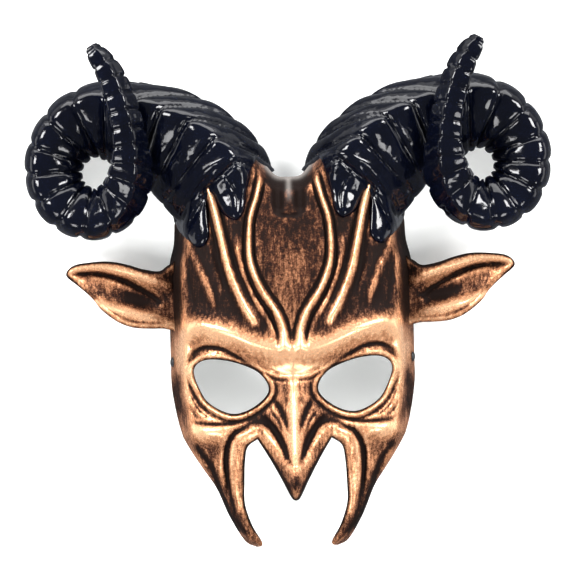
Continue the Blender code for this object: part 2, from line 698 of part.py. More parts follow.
def main():
    for old in list(bpy.data.objects):
        bpy.data.objects.remove(old, do_unlink=True)
    shell = new_object("face_shell", face_mesh(relief, inner_relief), (0.5, 0.22, 0.1), 0.4, 0.7)
    trim = face_trim("face_trim")
    for side, name in ((-1, "left"), (1, "right")):
        make_horn(side, name, trim)
        make_ear(side, name, trim)
        make_rivet(side, name)
        holes = [(f"horn_screw_{k}", x, z) for k, (x, z) in enumerate(HORN_SCREWS, 1)]
        holes.append(("ear_screw", side_wall_x(EAR_SCREW_H), EAR_SCREW_Z))
        for label, x, z in holes:
            make_screw(f"{name}_{label}", x, z, side)
            boolean(shell, drill(f"{name}_{label}_hole", x, z, side, SCREW_R + GAP, 4))
        boolean(shell, drill(name + "_rivet_hole", side_wall_x(RIVET_H), RIVET_Z, side,
                             RIVET_R + GAP, 4))
    make_strap()
    make_slider()
    make_pads()


main()
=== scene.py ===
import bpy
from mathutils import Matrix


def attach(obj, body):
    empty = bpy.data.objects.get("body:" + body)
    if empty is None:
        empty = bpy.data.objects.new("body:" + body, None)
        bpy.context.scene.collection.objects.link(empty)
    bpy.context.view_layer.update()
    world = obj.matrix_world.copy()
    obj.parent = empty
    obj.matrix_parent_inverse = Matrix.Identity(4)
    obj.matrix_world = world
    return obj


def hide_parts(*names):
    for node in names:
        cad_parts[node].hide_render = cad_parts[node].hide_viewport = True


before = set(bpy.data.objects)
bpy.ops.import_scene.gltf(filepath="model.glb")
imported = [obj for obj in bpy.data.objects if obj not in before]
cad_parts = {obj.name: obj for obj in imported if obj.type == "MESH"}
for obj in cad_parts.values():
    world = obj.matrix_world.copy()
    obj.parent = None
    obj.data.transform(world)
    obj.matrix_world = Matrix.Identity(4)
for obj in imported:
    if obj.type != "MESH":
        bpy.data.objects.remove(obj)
"""Looks of the ram-horned half mask: painted copper face and ears, gloss black horns, strap.

Mask coordinates, in millimetres: x to the viewer's right, z up, h towards the viewer from the
plane of the rear rim. The hook under the strap is the world's origin and the mask faces -Y.
"""
import math

import bmesh
import bpy
import numpy as np
from mathutils import Matrix, Vector
from mathutils.bvhtree import BVHTree
from mathutils.geometry import delaunay_2d_cdt

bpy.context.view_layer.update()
MM = 0.001
HOOK_Z, HOOK_H = 53.0, 10.0
FINE = 0.95                          # spacing of the face's surface points

# --- outlines, as in the CAD part -----------------------------------------------------
SHELL = 2.4
CROWN, CROWN_HALF = 60.0, 82.0
WALL_SLOPE, RIM_EDGE = 4.0, 2.5
NOTCH = [(0, 70.2), (7.6, 71.3), (14.7, 79.2), (17.3, 84.3)]
UNDER_HORN = [(17.3, 84.3), (28, 88), (44, 83), (58, 72), (67, 57), (70.8, 43)]
TEMPLE = [(70.8, 43), (71.5, 31), (74.3, 19), (75, 6), (75, -12), (75, -35), (75, -54),
          (73.5, -66), (70.6, -78), (67.5, -87)]
JAW = [(67.5, -87), (62.5, -95), (55, -106), (47.5, -117.5), (40.2, -134.4),
       (31.4, -149), (24.4, -153.1)]
TUSK_INSIDE = [(24.4, -153.1), (20.7, -149.8), (26.5, -139), (30.5, -126), (30.5, -113),
               (29.8, -100), (28, -91.5), (22.1, -87)]
NOSE_EDGE = [(22.1, -87), (15.5, -97.5), (8, -110.5), (2.5, -121.0), (0, -122.6)]
EYE = [(15, -55.3), (21.5, -46.9), (35, -41.2), (48, -39.2), (56, -41), (59.5, -46.5),
       (56.5, -56.5), (50.5, -65.5), (38, -71.6), (27, -69.6), (17, -62.3)]
BROW = [(0, -34), (12, -33), (22.7, -30), (34, -25), (44, -21.5), (57, -19.5),
        (67, -26), (69.5, -37), (68, -46)]

# --- fine relief of the face's right half: (points, half width, height or depth) --------
CREST = [(16.5, 83.5), (15.8, 74), (19.2, 58), (23.4, 44), (24.5, 27), (23, 15), (17.5, 1.5),
         (9.5, -11), (5.6, -21), (4.6, -29), (4.8, -34)]
TINE = [(48.6, 64), (45, 51.5), (41.3, 34.5), (37, 15), (30.5, -2.5), (22.5, -18)]
# the forehead ridges: (points, half width, height, z of the foot, z where their grooves fade)
RIDGES = [(CREST, 1.5, 3.2, -39, -200), (TINE, 2.1, 4.2, -26, -4)]
POCKET_X, POCKET_DEEP = 6.6, 4.4     # the two pockets under the notch
RAISED = [
    ([(31.5, 34), (29.5, 14), (22, -4), (14, -17), (10, -26)], 1.7, 1.8),
    ([(69.2, 39), (60, 27), (52.5, 10), (46, -6)], 2.8, 2.6),
    ([(68.5, 27), (66.2, 14), (67.5, -5)], 2.0, 1.2),
    ([(54, 20), (50, 6), (46, -12)], 2.2, 1.0),
]
GROOVES = [
    ([(0, -51.8), (9.6, -51.6), (17.1, -47.9), (26.2, -42.5), (34.3, -37.2), (42.9, -32.6),
      (52.5, -31.8), (60.3, -36), (64.6, -43), (66.4, -49.5)], 1.3, 1.9),
    ([(0, -48.9), (8, -48.2), (14, -46.1), (21.5, -43.1)], 0.8, 0.6),
    ([(42, -33.4), (52, -32.6), (59, -36)], 1.7, 1.2),
    ([(64.2, -41), (66, -47), (66.2, -52)], 1.5, 1.6),
    ([(30.5, -76), (38, -77.6), (50, -77.9), (61.5, -76.8)], 1.3, 2.1),
    ([(65.7, -58), (63.2, -65.6), (59.6, -72), (54.4, -76)], 0.7, 0.7),
    ([(63, -56.5), (60.5, -63.6), (56.4, -70), (50, -74.5)], 0.7, 0.8),
    ([(60.8, -55), (58, -61.5), (53, -68), (45.5, -72.6)], 0.7, 0.7),
    ([(69, -56), (67, -66), (63, -73)], 0.8, 0.5),
    ([(66.5, -52), (70, -53.6), (74.5, -52.8)], 0.8, 0.9),
    ([(67.5, -49), (71, -49.8), (74.5, -49)], 0.7, 0.6),
    ([(11.5, -63.5), (6.8, -71), (3.8, -81)], 1.9, 2.6),
    ([(19, -73.5), (11.3, -81.5), (6.8, -90), (4.2, -99.6)], 2.4, 3.6),
    ([(13, -71), (9.2, -76.5), (6.4, -83)], 1.0, 1.2),
    ([(27.5, -80), (35.9, -83.2), (40.4, -91.5), (41.2, -104), (39, -121.3), (35.4, -134.7),
      (31.2, -141)], 1.7, 3.2),
    ([(57.5, -93.6), (50.3, -103.6), (45.7, -117), (41.5, -129)], 1.6, 2.4),
    ([(0, 45.8), (4.2, 45.9), (9.3, 48.4)], 1.2, 1.8),
    ([(37.5, 38), (33.5, 22), (26.5, 2), (18, -14)], 1.4, 1.2),
    ([(46.8, 34), (43.5, 18), (38, 0)], 1.8, 1.4),
    ([(71.5, 22), (70.2, 4), (71, -12)], 1.6, 1.6),
    ([(62.5, 20), (60.5, 6), (58, -8)], 1.6, 1.0),
]


# --- plane geometry ---------------------------------------------------
def spline(points, step, closed=False):
    """Points about `step` apart on the Catmull-Rom curve through the given points."""
    pts = np.array(points, float)
    if closed:
        pts = np.vstack([pts[-1:], pts, pts[:2]])
    else:
        pts = np.vstack([2 * pts[0] - pts[1], pts, 2 * pts[-1] - pts[-2]])
    fine = []
    for p0, p1, p2, p3 in zip(pts, pts[1:], pts[2:], pts[3:]):
        for t in np.linspace(0, 1, 16, endpoint=False):
            fine.append(0.5 * (2 * p1 + (p2 - p0) * t + (2 * p0 - 5 * p1 + 4 * p2 - p3) * t**2
                               + (3 * p1 - p0 - 3 * p2 + p3) * t**3))
    fine.append(pts[-2])
    return resample(np.array(fine), step)


def resample(line, step):
    """The same line with evenly spaced points, about `step` apart."""
    run = np.concatenate([[0], np.cumsum(np.linalg.norm(np.diff(line, axis=0), axis=1))])
    count = max(2, round(run[-1] / step) + 1)
    at = np.linspace(0, run[-1], count)
    return np.stack([np.interp(at, run, line[:, k]) for k in range(line.shape[1])], axis=1)


def nearest(x, z, line, reach=1e9):
    """Distance to an open line, and how far along it (0 to 1); far points get `reach`."""
    best = np.full(np.shape(x), float(reach))
    part = np.zeros(np.shape(x))
    low, high = line.min(axis=0) - reach, line.max(axis=0) + reach
    near = (x > low[0]) & (x < high[0]) & (z > low[1]) & (z < high[1])
    px, pz = x[near], z[near]
    dist, along = best[near], part[near]
    last = len(line) - 1
    for k, ((ax, az), (bx, bz)) in enumerate(zip(line[:-1], line[1:])):
        ex, ez = bx - ax, bz - az
        t = np.clip(((px - ax) * ex + (pz - az) * ez) / (ex * ex + ez * ez + 1e-12), 0, 1)
        d = np.hypot(px - ax - t * ex, pz - az - t * ez)
        closer = d < dist
        dist = np.where(closer, d, dist)
        along = np.where(closer, (k + t) / last, along)
    best[near], part[near] = dist, along
    return best, part


def inside(x, z, loop):
    """Whether each point lies inside a closed loop."""
    hit = np.zeros(np.shape(x), bool)
    for (ax, az), (bx, bz) in zip(loop, np.roll(loop, -1, axis=0)):
        crosses = (az > z) != (bz > z)
        hit ^= crosses & (x < (bx - ax) * (z - az) / (bz - az + 1e-12) + ax)
    return hit


def smooth_step(low, high, value):
    """0 up to low, 1 from high on, with a smooth rise between them."""
    t = np.clip((value - low) / (high - low), 0, 1)
    return t * t * (3 - 2 * t)


def smooth_min(a, b, k):
    """The lower of two surfaces, blended where they are less than k apart."""
    mix = np.clip(0.5 + 0.5 * (b - a) / k, 0, 1)
    return b + (a - b) * mix - k * mix * (1 - mix)


def round_edge(distance, radius):
    """Rises from 0 at an edge to 1 at the radius, as a quarter circle does."""
    return np.sqrt(np.clip(1 - (1 - np.clip(distance / radius, 0, 1)) ** 2, 0, 1))


def mirrored(line):
    return np.array(line)[::-1] * [-1, 1]


def bell(distance, width):
    """1 at no distance, fading to 0 past the width."""
    return np.exp(-(distance / width) ** 2)


def stripe(x, z, points, width, step=2.0):
    """A soft stripe along a line, of weight 1 in its middle."""
    return bell(nearest(x, z, spline(points, step), 9)[0], width)


OUTER_FINE = np.vstack([spline(run, 2) for run in (NOTCH, UNDER_HORN, TEMPLE, JAW)])
GAP_FINE = np.vstack([spline(TUSK_INSIDE, 2), spline(NOSE_EDGE, 2)])
EYE_FINE = spline(EYE, 1.5, closed=True)
BROW_FINE = spline(BROW, 3)


# --- the relief of the face -------------------------------------------
def rim_height(z):
    """Height of the wall's front edge: it stands up at the crown and along the jaw."""
    top = 20 * smooth_step(45, 80, z)
    jaw = 34 * smooth_step(-58, -108, z)
    return RIM_EDGE + top + jaw


def side_wall_x(h):
    """How far out the outside of the temple's wall is at a height."""
    return 75 - (h - RIM_EDGE) / WALL_SLOPE


def nose(ax, z):
    crest = np.interp(-z, [38, 55, 75, 95, 110, 118, 124], [0, 4, 13, 23, 28, 26, 20])
    half = np.interp(-z, [38, 60, 80, 100, 124], [8, 8, 11, 13, 11])
    bridge = 1.6 * bell(ax, 2.3) * smooth_step(-50, -60, z) * smooth_step(-122, -112, z)
    return crest * np.exp(-(ax / half) ** 1.5) + bridge


def line_relief(ax, z, points, width, height):
    """One raised (or sunk) line that thins out towards both ends."""
    dist, part = nearest(ax, z, spline(points, 2), width * 3)
    taper = np.clip(np.sin(np.clip(part, 0.02, 0.98) * math.pi), 0, 1) ** 0.5
    return height * taper * bell(dist, width * (0.6 + 0.4 * taper))


def folds(ax, z):
    """The bright forehead ridges with the sharp grooves at their feet."""
    total = np.zeros_like(ax)
    for points, width, height, foot, groove_foot in RIDGES:
        dist, part = nearest(ax, z, spline(points, 2), 14)
        fade = smooth_step(foot, foot + 16, z)
        wide = width * (1 + 0.5 * smooth_step(0.35, 0.9, part))
        deep = 1.9 * smooth_step(groove_foot, groove_foot + 38, z)
        total += fade * (height * bell(dist, wide) - deep * bell(dist - 1.75 * wide, 0.85))
    for points, width, height in RAISED:
        total += line_relief(ax, z, points, width, height)
    pocket = smooth_step(46, 51 + 0.18 * (ax - POCKET_X) ** 2, z) * smooth_step(70, 65, z)
    return total - POCKET_DEEP * bell(ax - POCKET_X, 3.0) * pocket


def rolled_edges(ax, z):
    """The rolled band round each nose gap and the thin lids round the eye holes."""
    gap, _ = nearest(ax, z, GAP_FINE, 16)
    band = 3.0 * np.sqrt(np.clip(1 - ((gap - 4.8) / 5.0) ** 2, 0, 1))
    band -= 2.0 * bell(gap, 1.0)
    eye, _ = nearest(ax, z, EYE_FINE, 14)
    lower = smooth_step(-46, -60, z) + smooth_step(52, 60, ax)
    lid = 1.1 * bell(eye - 2.0, 1.3) - 1.6 * bell(eye, 0.9)
    lid -= 1.3 * np.clip(lower, 0, 1) * bell(eye - 4.6, 1.0)
    return band + lid


def broad_form(ax, z):
    """The crowned front without any feature: it falls away to both sides, up and down."""
    form = CROWN * np.sqrt(np.clip(1 - (ax / CROWN_HALF) ** 2.6, 0.02, 1))
    form -= 14 * (np.clip(z + 30, 0, None) / 100) ** 2
    return form - 12 * (np.clip(-60 - z, 0, None) / 90) ** 1.5


def eye_socket(ax, z):
    return 7 * np.exp(-((ax - 38) / 25) ** 2 - ((z + 55) / 17) ** 2)


def features(ax, z):
    """All that the moulding adds to the broad form and takes from it."""
    brow_dist, _ = nearest(ax, z, BROW_FINE, 30)
    brow = 6 * bell(brow_dist, 7)
    cheek = 4 * np.exp(-((ax - 55) / 13) ** 2 - ((z + 83) / 6) ** 2)
    hollow = 2.5 * np.exp(-((ax - 50) / 8) ** 2 - ((z + 97) / 8) ** 2)
    total = brow - eye_socket(ax, z) + cheek - hollow
    total += nose(ax, z) + folds(ax, z) + rolled_edges(ax, z)
    for points, width, depth in GROOVES:
        total -= line_relief(ax, z, points, width, depth)
    return total


def walled(ax, z, form):
    """The form, cut off at the outline by the steep side wall."""
    edge, _ = nearest(ax, z, OUTER_FINE, 40)
    return smooth_min(rim_height(z) + WALL_SLOPE * edge, form, 6)


def relief(x, z):
    """Height of the face's front surface above the rim plane."""
    ax = np.abs(x)
    return walled(ax, z, broad_form(ax, z) + features(ax, z))


def plain_relief(x, z):
    """The same face without its fine lines: what the inside of the shell follows."""
    ax = np.abs(x)
    brow_dist, _ = nearest(ax, z, BROW_FINE, 30)
    form = broad_form(ax, z) + 5 * bell(brow_dist, 8) + 0.93 * nose(ax, z) - eye_socket(ax, z)
    return walled(ax, z, form)


def slopes(x, z):
    """How steeply the plain face rises along x and along z."""
    e = 0.5
    gx = (plain_relief(x + e, z) - plain_relief(x - e, z)) / (2 * e)
    gz = (plain_relief(x, z + e) - plain_relief(x, z - e)) / (2 * e)
    return gx, gz


def inner_relief(x, z, front):
    """The inside of the shell: a parallel wall that ends flat at the rear rim."""
    gx, gz = slopes(x, z)
    wall = math.hypot(1, WALL_SLOPE)
    steep = np.clip(np.sqrt(1 + gx**2 + gz**2), 1, wall)
    edge, _ = nearest(np.abs(x), z, OUTER_FINE, 3)
    steep = np.where(edge < 1.2, wall, steep)
    deep = np.minimum(plain_relief(x, z) - SHELL * steep, front - 1.2)
    return np.maximum(deep, rim_height(z) - RIM_EDGE)


# --- meshes -----------------------------------------------------------
def to_world(x, z, h):
    return np.stack([x * MM, (HOOK_H - h) * MM, (z - HOOK_Z) * MM], axis=1)


def put_in_scene(name, data):
    thing = bpy.data.objects.new(name, data)
    bpy.context.scene.collection.objects.link(thing)
    return thing


def new_piece(name, verts, faces, material, smooth=True):
    """A mesh object of one material with its faces turned outwards."""
    mesh = bpy.data.meshes.new(name)
    mesh.from_pydata([tuple(v) for v in verts], [], [tuple(int(k) for k in f) for f in faces])
    mesh.update()
    bm = bmesh.new()
    bm.from_mesh(mesh)
    bmesh.ops.recalc_face_normals(bm, faces=bm.faces)
    bm.to_mesh(mesh)
    bm.free()
    if smooth:
        mesh.shade_smooth()
    mesh.materials.append(material)
    return put_in_scene(name, mesh)


def belongs(piece, node, body="mask"):
    """Which body the piece moves with, which CAD node it stands for."""
    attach(piece, body)
    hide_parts(node)


def tube_faces(count, width, closed=False):
    """Quads between rings of points, with end caps unless the last ring meets the first."""
    faces = []
    for k in range(count if closed else count - 1):
        low, high = k * width, (k + 1) % count * width
        faces += [(low + m, low + (m + 1) % width, high + (m + 1) % width, high + m)
                  for m in range(width)]
    if not closed:
        faces += [tuple(range(width)), tuple(range((count - 1) * width, count * width))]
    return faces


def set_attribute(thing, name, values):
    layer = thing.data.attributes.new(name, "FLOAT", "POINT")
    layer.data.foreach_set("value", np.asarray(values, np.float32))


def paint(thing, name, front, back=0.0):
    """Gives each point of a two-sided piece's front its value, and the back a single one."""
    set_attribute(thing, name, np.concatenate([front, np.full_like(front, back)]))


def within(points, loops):
    """Whether each point is inside the first loop and outside the others."""
    keep = inside(points[:, 0], points[:, 1], np.array(loops[0]))
    for hole in loops[1:]:
        keep &= ~inside(points[:, 0], points[:, 1], np.array(hole))
    return keep


def region(loops, step):
    """Fine triangles over what the loops enclose."""
    points, edges = [], []
    for loop in loops:
        start = len(points)
        points += [tuple(p) for p in loop]
        edges += [(start + k, start + (k + 1) % len(loop)) for k in range(len(loop))]
    outer = np.array(loops[0])
    low, high = outer.min(axis=0), outer.max(axis=0)
    rows = np.arange(low[1], high[1], step * math.sqrt(0.75))
    field = np.array([(x + (k % 2) * step / 2, z) for k, z in enumerate(rows)
                      for x in np.arange(low[0], high[0], step)])
    keep = within(field, loops)
    for loop in loops:
        closed = np.vstack([loop, loop[:1]])
        keep &= nearest(field[:, 0], field[:, 1], closed, 3)[0] > 0.6 * step
    points += [tuple(p) for p in field[keep]]
    verts, _, faces, _, _, _ = delaunay_2d_cdt([Vector(p) for p in points], edges, [], 0, 1e-7)
    flat = np.array([tuple(v) for v in verts])
    tris = np.array([list(f) for f in faces])
    return flat, tris[within(flat[tris].mean(axis=1), loops)]


def boundary(tris):
    """The edges that only one triangle uses, in that triangle's direction."""
    edges = np.concatenate([tris[:, [0, 1]], tris[:, [1, 2]], tris[:, [2, 0]]])
    key = np.sort(edges, axis=1)
    _, first, count = np.unique(key, axis=0, return_index=True, return_counts=True)
    return edges[first[count == 1]]


def smoothed(values, tris, rounds):
    """The values averaged over their neighbours on the surface, many times."""
    pairs = np.concatenate([tris[:, [0, 1]], tris[:, [1, 2]], tris[:, [2, 0]]])
    a = np.concatenate([pairs[:, 0], pairs[:, 1]])
    b = np.concatenate([pairs[:, 1], pairs[:, 0]])
    count = np.bincount(a, minlength=len(values))
    count[count == 0] = 1
    for _ in range(rounds):
        values = 0.5 * values + 0.5 * np.bincount(a, values[b], minlength=len(values)) / count
    return values


def two_sided(name, flat, tris, front, back, material, side=1):
    """A closed skin of a front and a back surface over the same triangles."""
    count = len(flat)
    x, z = side * flat[:, 0], flat[:, 1]
    verts = np.vstack([to_world(x, z, front), to_world(x, z, back)])
    faces = [*tris, *(tris[:, ::-1] + count)]
    faces += [(a, b, b + count, a + count) for a, b in boundary(tris)]
    return new_piece(name, verts, faces, material)


def hollow_map(front, tris):
    """How sunk (above 0) or raised (below 0) each point is among its surroundings, in mm."""
    small = smoothed(front, tris, 14) - front
    large = smoothed(front, tris, 90) - front
    return small, large


# --- materials --------------------------------------------------------
class Nodes:
    """Short calls for building a material's node tree."""

    def __init__(self, name):
        self.material = bpy.data.materials.new(name)
        self.material.use_nodes = True
        self.tree = self.material.node_tree
        self.shader = self.tree.nodes["Principled BSDF"]
        self.place = self.tree.nodes.new("ShaderNodeTexCoord").outputs["Object"]

    def feed(self, socket, value):
        """Links an input to another node's output, or gives it a fixed value."""
        if isinstance(value, bpy.types.NodeSocket):
            self.tree.links.new(value, socket)
        else:
            socket.default_value = value

    def add(self, kind, output, **inputs):
        """One output of a new node with the given inputs."""
        node = self.tree.nodes.new("ShaderNode" + kind)
        for key, value in inputs.items():
            self.feed(node.inputs[key.replace("_", " ")], value)
        return node.outputs[output]

    def noise(self, scale, detail=4, rough=0.6, stretch=None):
        place = self.place
        if stretch:
            place = self.add("Mapping", "Vector", Vector=place, Scale=stretch)
        return self.add("TexNoise", "Fac", Vector=place, Scale=scale, Detail=detail, Roughness=rough)

    def attribute(self, name):
        node = self.tree.nodes.new("ShaderNodeAttribute")
        node.attribute_name = name
        return node.outputs["Fac"]

    def math(self, operation, a, b=0.5, clamp=False):
        node = self.tree.nodes.new("ShaderNodeMath")
        node.operation = operation
        node.use_clamp = clamp
        self.feed(node.inputs[0], a)
        self.feed(node.inputs[1], b)
        return node.outputs["Value"]

    def ramp(self, value, stops):
        node = self.tree.nodes.new("ShaderNodeValToRGB")
        while len(node.color_ramp.elements) < len(stops):
            node.color_ramp.elements.new(0.5)
        for element, (position, colour) in zip(node.color_ramp.elements, stops):
            element.position = position
            element.color = (*colour, 1)
        self.feed(node.inputs["Fac"], value)
        return node.outputs["Color"]

    def range(self, value, low, high, to_low=0.0, to_high=1.0):
        return self.add("MapRange", "Result", Value=value, From_Min=low, From_Max=high,
                        To_Min=to_low, To_Max=to_high)

    def mix(self, factor, a, b):
        node = self.tree.nodes.new("ShaderNodeMix")
        node.data_type = "RGBA"
        for key, value in (("Factor", factor), ("A", a), ("B", b)):
            self.feed(node.inputs[key], value)
        return node.outputs["Result"]

    def bump(self, height, strength, depth):
        return self.add("Bump", "Normal", Height=height, Strength=strength, Distance=depth)

    def finish(self, **inputs):
        """Sets the surface's own inputs and gives the finished material."""
        for key, value in inputs.items():
            self.feed(self.shader.inputs[key.replace("_", " ")], value)
        return self.material


def copper_paint():
    """Antique copper dry-brushed over dark brown, speckled, dark in every hollow."""
    n = Nodes("copper_paint")
    speckle = n.noise(1500, 3, 0.7)
    grain = n.noise(520, 4, 0.65)
    blotch = n.noise(95, 4, 0.6)
    brush = n.noise(600, 3, 0.6, (1, 1, 0.16))
    value = n.attribute("tone")
    for fleck, low, high in ((speckle, -0.16, 0.16), (grain, -0.11, 0.11), (brush, -0.15, 0.13)):
        value = n.math("ADD", value, n.range(fleck, 0.38, 0.62, low, high))
    value = n.math("ADD", value, n.range(blotch, 0.3, 0.7, -0.16, 0.14), clamp=True)
    colour = n.ramp(value, [(0.0, (0.008, 0.004, 0.003)), (0.16, (0.018, 0.007, 0.004)),
                            (0.34, (0.068, 0.025, 0.013)), (0.54, (0.23, 0.1, 0.05)),
                            (0.78, (0.47, 0.215, 0.105)), (1.0, (0.76, 0.43, 0.24))])
    bare = n.attribute("bare")
    plastic = n.range(n.noise(300, 2), 0.2, 0.8, 0.012, 0.02)
    colour = n.mix(bare, colour, n.ramp(plastic, [(0, (0.01, 0.01, 0.01)), (1, (0.02, 0.02, 0.02))]))
    # painted highlight: pale grey along the notch's edge and the rib below it
    colour = n.mix(n.attribute("notch_highlight"), colour, (0.22, 0.2, 0.185, 1))
    metal = n.math("MULTIPLY", n.range(value, 0.3, 0.75, 0.0, 0.55),
                   n.math("SUBTRACT", 1.0, bare))
    rough = n.math("ADD", n.range(value, 0.1, 0.9, 0.62, 0.25), n.range(grain, 0.3, 0.7, -0.05, 0.07))
    bumps = n.math("ADD", speckle, n.math("MULTIPLY", grain, 1.5))
    return n.finish(Base_Color=colour, Roughness=rough, Metallic=metal, Specular_IOR_Level=0.06,
                    Normal=n.bump(bumps, 0.32, 0.00025))


def horn_gloss():
    """Wavy blue-black lacquer."""
    n = Nodes("black_gloss")
    wave = n.noise(55, 2, 0.5)
    ripple = n.noise(130, 2, 0.5)
    dust = n.noise(2400, 2, 0.5)
    colour = n.ramp(n.noise(40, 3), [(0.3, (0.0006, 0.0009, 0.003)), (0.75, (0.0015, 0.0022, 0.0062))])
    height = n.math("ADD", wave, n.math("MULTIPLY", ripple, 0.15))
    rough = n.range(dust, 0.35, 0.7, 0.07, 0.13)
    return n.finish(Base_Color=colour, Roughness=rough, Specular_IOR_Level=0.24, Coat_Weight=0.08,
                    Coat_Roughness=0.03, Normal=n.bump(height, 0.7, 0.0032))


def satin_black(name, low, high, bumps=900):
    n = Nodes(name)
    grain = n.noise(bumps, 4, 0.6)
    colour = n.ramp(grain, [(0.3, (0.008, 0.008, 0.009)), (0.75, (0.022, 0.022, 0.024))])
    return n.finish(Base_Color=colour, Roughness=n.range(grain, 0.3, 0.7, low, high),
                    Normal=n.bump(grain, 0.25, 0.0002))


def steel():
    n = Nodes("zinc_steel")
    scratch = n.noise(900, 3, 0.6, (1, 8, 1))
    stain = n.noise(260, 3, 0.6)
    colour = n.ramp(stain, [(0.3, (0.38, 0.37, 0.34)), (0.7, (0.62, 0.61, 0.58))])
    return n.finish(Base_Color=colour, Roughness=n.range(scratch, 0.3, 0.7, 0.24, 0.42),
                    Metallic=1.0, Normal=n.bump(scratch, 0.2, 0.0001))


def elastic_weave():
    """Black knitted elastic: cords along the band, crossed by fine picks."""
    n = Nodes("elastic_weave")
    run = n.attribute("along")
    cross = n.attribute("across")
    picks = n.math("SINE", n.math("MULTIPLY", run, 2 * math.pi / 0.9))
    cords = n.math("SINE", n.math("MULTIPLY", cross, 2 * math.pi / 1.1))
    weave = n.math("ADD", n.math("MULTIPLY", picks, 0.5), n.math("MULTIPLY", cords, 0.8))
    fuzz = n.noise(2600, 2, 0.5)
    tone = n.math("ADD", n.math("MULTIPLY", weave, 0.25), fuzz)
    colour = n.ramp(tone, [(0.2, (0.006, 0.006, 0.007)), (0.85, (0.035, 0.035, 0.038))])
    return n.finish(Base_Color=colour, Roughness=n.range(fuzz, 0.3, 0.7, 0.7, 0.9),
                    Sheen_Weight=0.25, Sheen_Roughness=0.5, Normal=n.bump(tone, 0.6, 0.0003))


def foam_skin():
    n = Nodes("foam_skin")
    cell = n.add("TexVoronoi", "Distance", Vector=n.place, Scale=1400)
    colour = n.ramp(cell, [(0.0, (0.012, 0.012, 0.013)), (0.7, (0.045, 0.045, 0.047))])
    return n.finish(Base_Color=colour, Roughness=n.range(cell, 0, 0.8, 0.85, 0.97),
                    Sheen_Weight=0.15, Sheen_Roughness=0.6, Normal=n.bump(cell, 0.6, 0.0004))


# --- the face ---------------------------------------------------------
def face_loops(step):
    runs = [spline(run, step) for run in (NOTCH, UNDER_HORN, TEMPLE, JAW, TUSK_INSIDE, NOSE_EDGE)]
    half = np.vstack([run[:-1] for run in runs] + [runs[-1][-1:]])
    eye = spline(EYE, step, closed=True)[:-1]
    return [np.vstack([half, mirrored(half)[1:-1]]), eye, mirrored(eye)]


def spot(ax, z, x0, z0, rx, rz, turn=0.0):
    """A soft elliptical patch of weight 1 at its centre."""
    c, s = math.cos(turn), math.sin(turn)
    dx, dz = ax - x0, z - z0
    return np.exp(-((dx * c + dz * s) / rx) ** 2 - ((dz * c - dx * s) / rz) ** 2)


def shading(x, z, shades):
    return sum(change * spot(x, z, *patch) for *patch, change in shades)


# painted shades and painted highlights: (x, z, half width, half height, turn, change of tone)
SHADES = [
    # forehead
    (0, 46, 16, 12, 0, -0.2), (0, 62, 15, 13, 0, -0.45), (POCKET_X, 58, 3.6, 9, 0, -0.9),
    (15, 20, 5, 26, 0, -0.16), (0, 8, 8, 14, 0, 0.12), (33, 24, 7, 24, 0.25, -0.14),
    (30, 40, 8, 6, 0, -0.25), (49, 12, 6, 22, 0.3, -0.14), (62, 8, 8, 22, 0.2, -0.2),
    (72, 8, 5, 34, 0, -0.4), (56, 24, 12, 8, 0.3, -0.25), (43, -6, 10, 10, 0.5, -0.12),
    (14, -14, 3, 12, 0.5, -0.2), (60, -3, 10, 10, 0.2, -0.2), (24, -10, 6, 8, 0.4, 0.2),
    # brow: painted highlights, strongest between the eyes
    (0, -33, 16, 7, 0, 0.35), (0, -37, 30, 7, 0, 0.25), (0, -46, 22, 5, 0, 0.62),
    (50, -25, 20, 6, 0.1, 0.3), (68, -36, 5, 13, 0, 0.3),
    # nose
    (0, -62, 2.8, 13, 0, 0.3), (0, -92, 2.8, 14, 0, 0.2), (0, -112, 5, 7, 0, -0.9),
    (8, -104, 5, 8, 0.4, -0.14), (15, -94, 5, 12, 0.6, -0.06), (19, -76, 8, 5, -0.4, -0.4),
    # cheeks, with a painted highlight along the cheekbone
    (72, -62, 6, 20, 0, -0.2), (63, -70, 6, 8, 0.4, -0.16), (54, -82, 13, 4, 0, 0.3),
    (24, -84, 7, 4, 0.2, 0.12), (54, -96, 8, 10, 0.3, -0.2),
    # tusks
    (60, -105, 6, 20, 0.6, 0.3), (33, -104, 6, 26, 0.05, -0.16), (28, -140, 8, 12, 0, -0.16),
]
# dark paint left in long grooves: (points, half width, change of tone)
DARK_LINES = [
    ([(58, -92), (50.3, -103.6), (45.7, -117), (40.5, -131), (36, -142)], 1.9, -0.6),
    ([(41.2, -100), (39, -121.3), (35.4, -134.7), (31, -143)], 1.5, -0.45),
    ([(69, -50), (71, -60), (70, -70)], 2.6, -0.22),
]


def face_tone(ax, z, small, large):
    """How bright the copper is: raised, rubbed places bright, hollows dark, painted highlights on brow
    and cheekbones.
    """
    tone = 0.55 - 0.46 * np.clip(small, -0.5, 0.95) - 0.11 * np.clip(large, -2.5, 3.0)
    tone -= 0.2 * smooth_step(-26, -8, z)
    edge, _ = nearest(ax, z, OUTER_FINE, 14)
    side = smooth_step(10.5, 6, edge)
    tone += side * (0.3 + 0.26 * smooth_step(-12, -30, z) - tone)
    for line in (CREST, TINE):
        tone += 0.24 * stripe(ax, z, line, 1.9) * smooth_step(-36, -10, z)
    for line, wide, change in DARK_LINES:
        tone += change * stripe(ax, z, line, wide)
    tone += shading(ax, z, SHADES)
    # a painted highlight along the brow
    brow, _ = nearest(ax, z, BROW_FINE, 20)
    tone += 0.16 * bell(brow, 5.5)
    return 0.5 + 1.12 * (tone - 0.54)


def notch_painted_highlight(ax, z):
    """A painted highlight: the thin pale edge of the notch and the rib that runs down from it."""
    rib = bell(ax, 1.5) * smooth_step(52, 62, z)
    return np.clip(0.9 * stripe(ax, z, NOTCH, 2.1, 1.5) + 0.6 * rib, 0, 0.9)


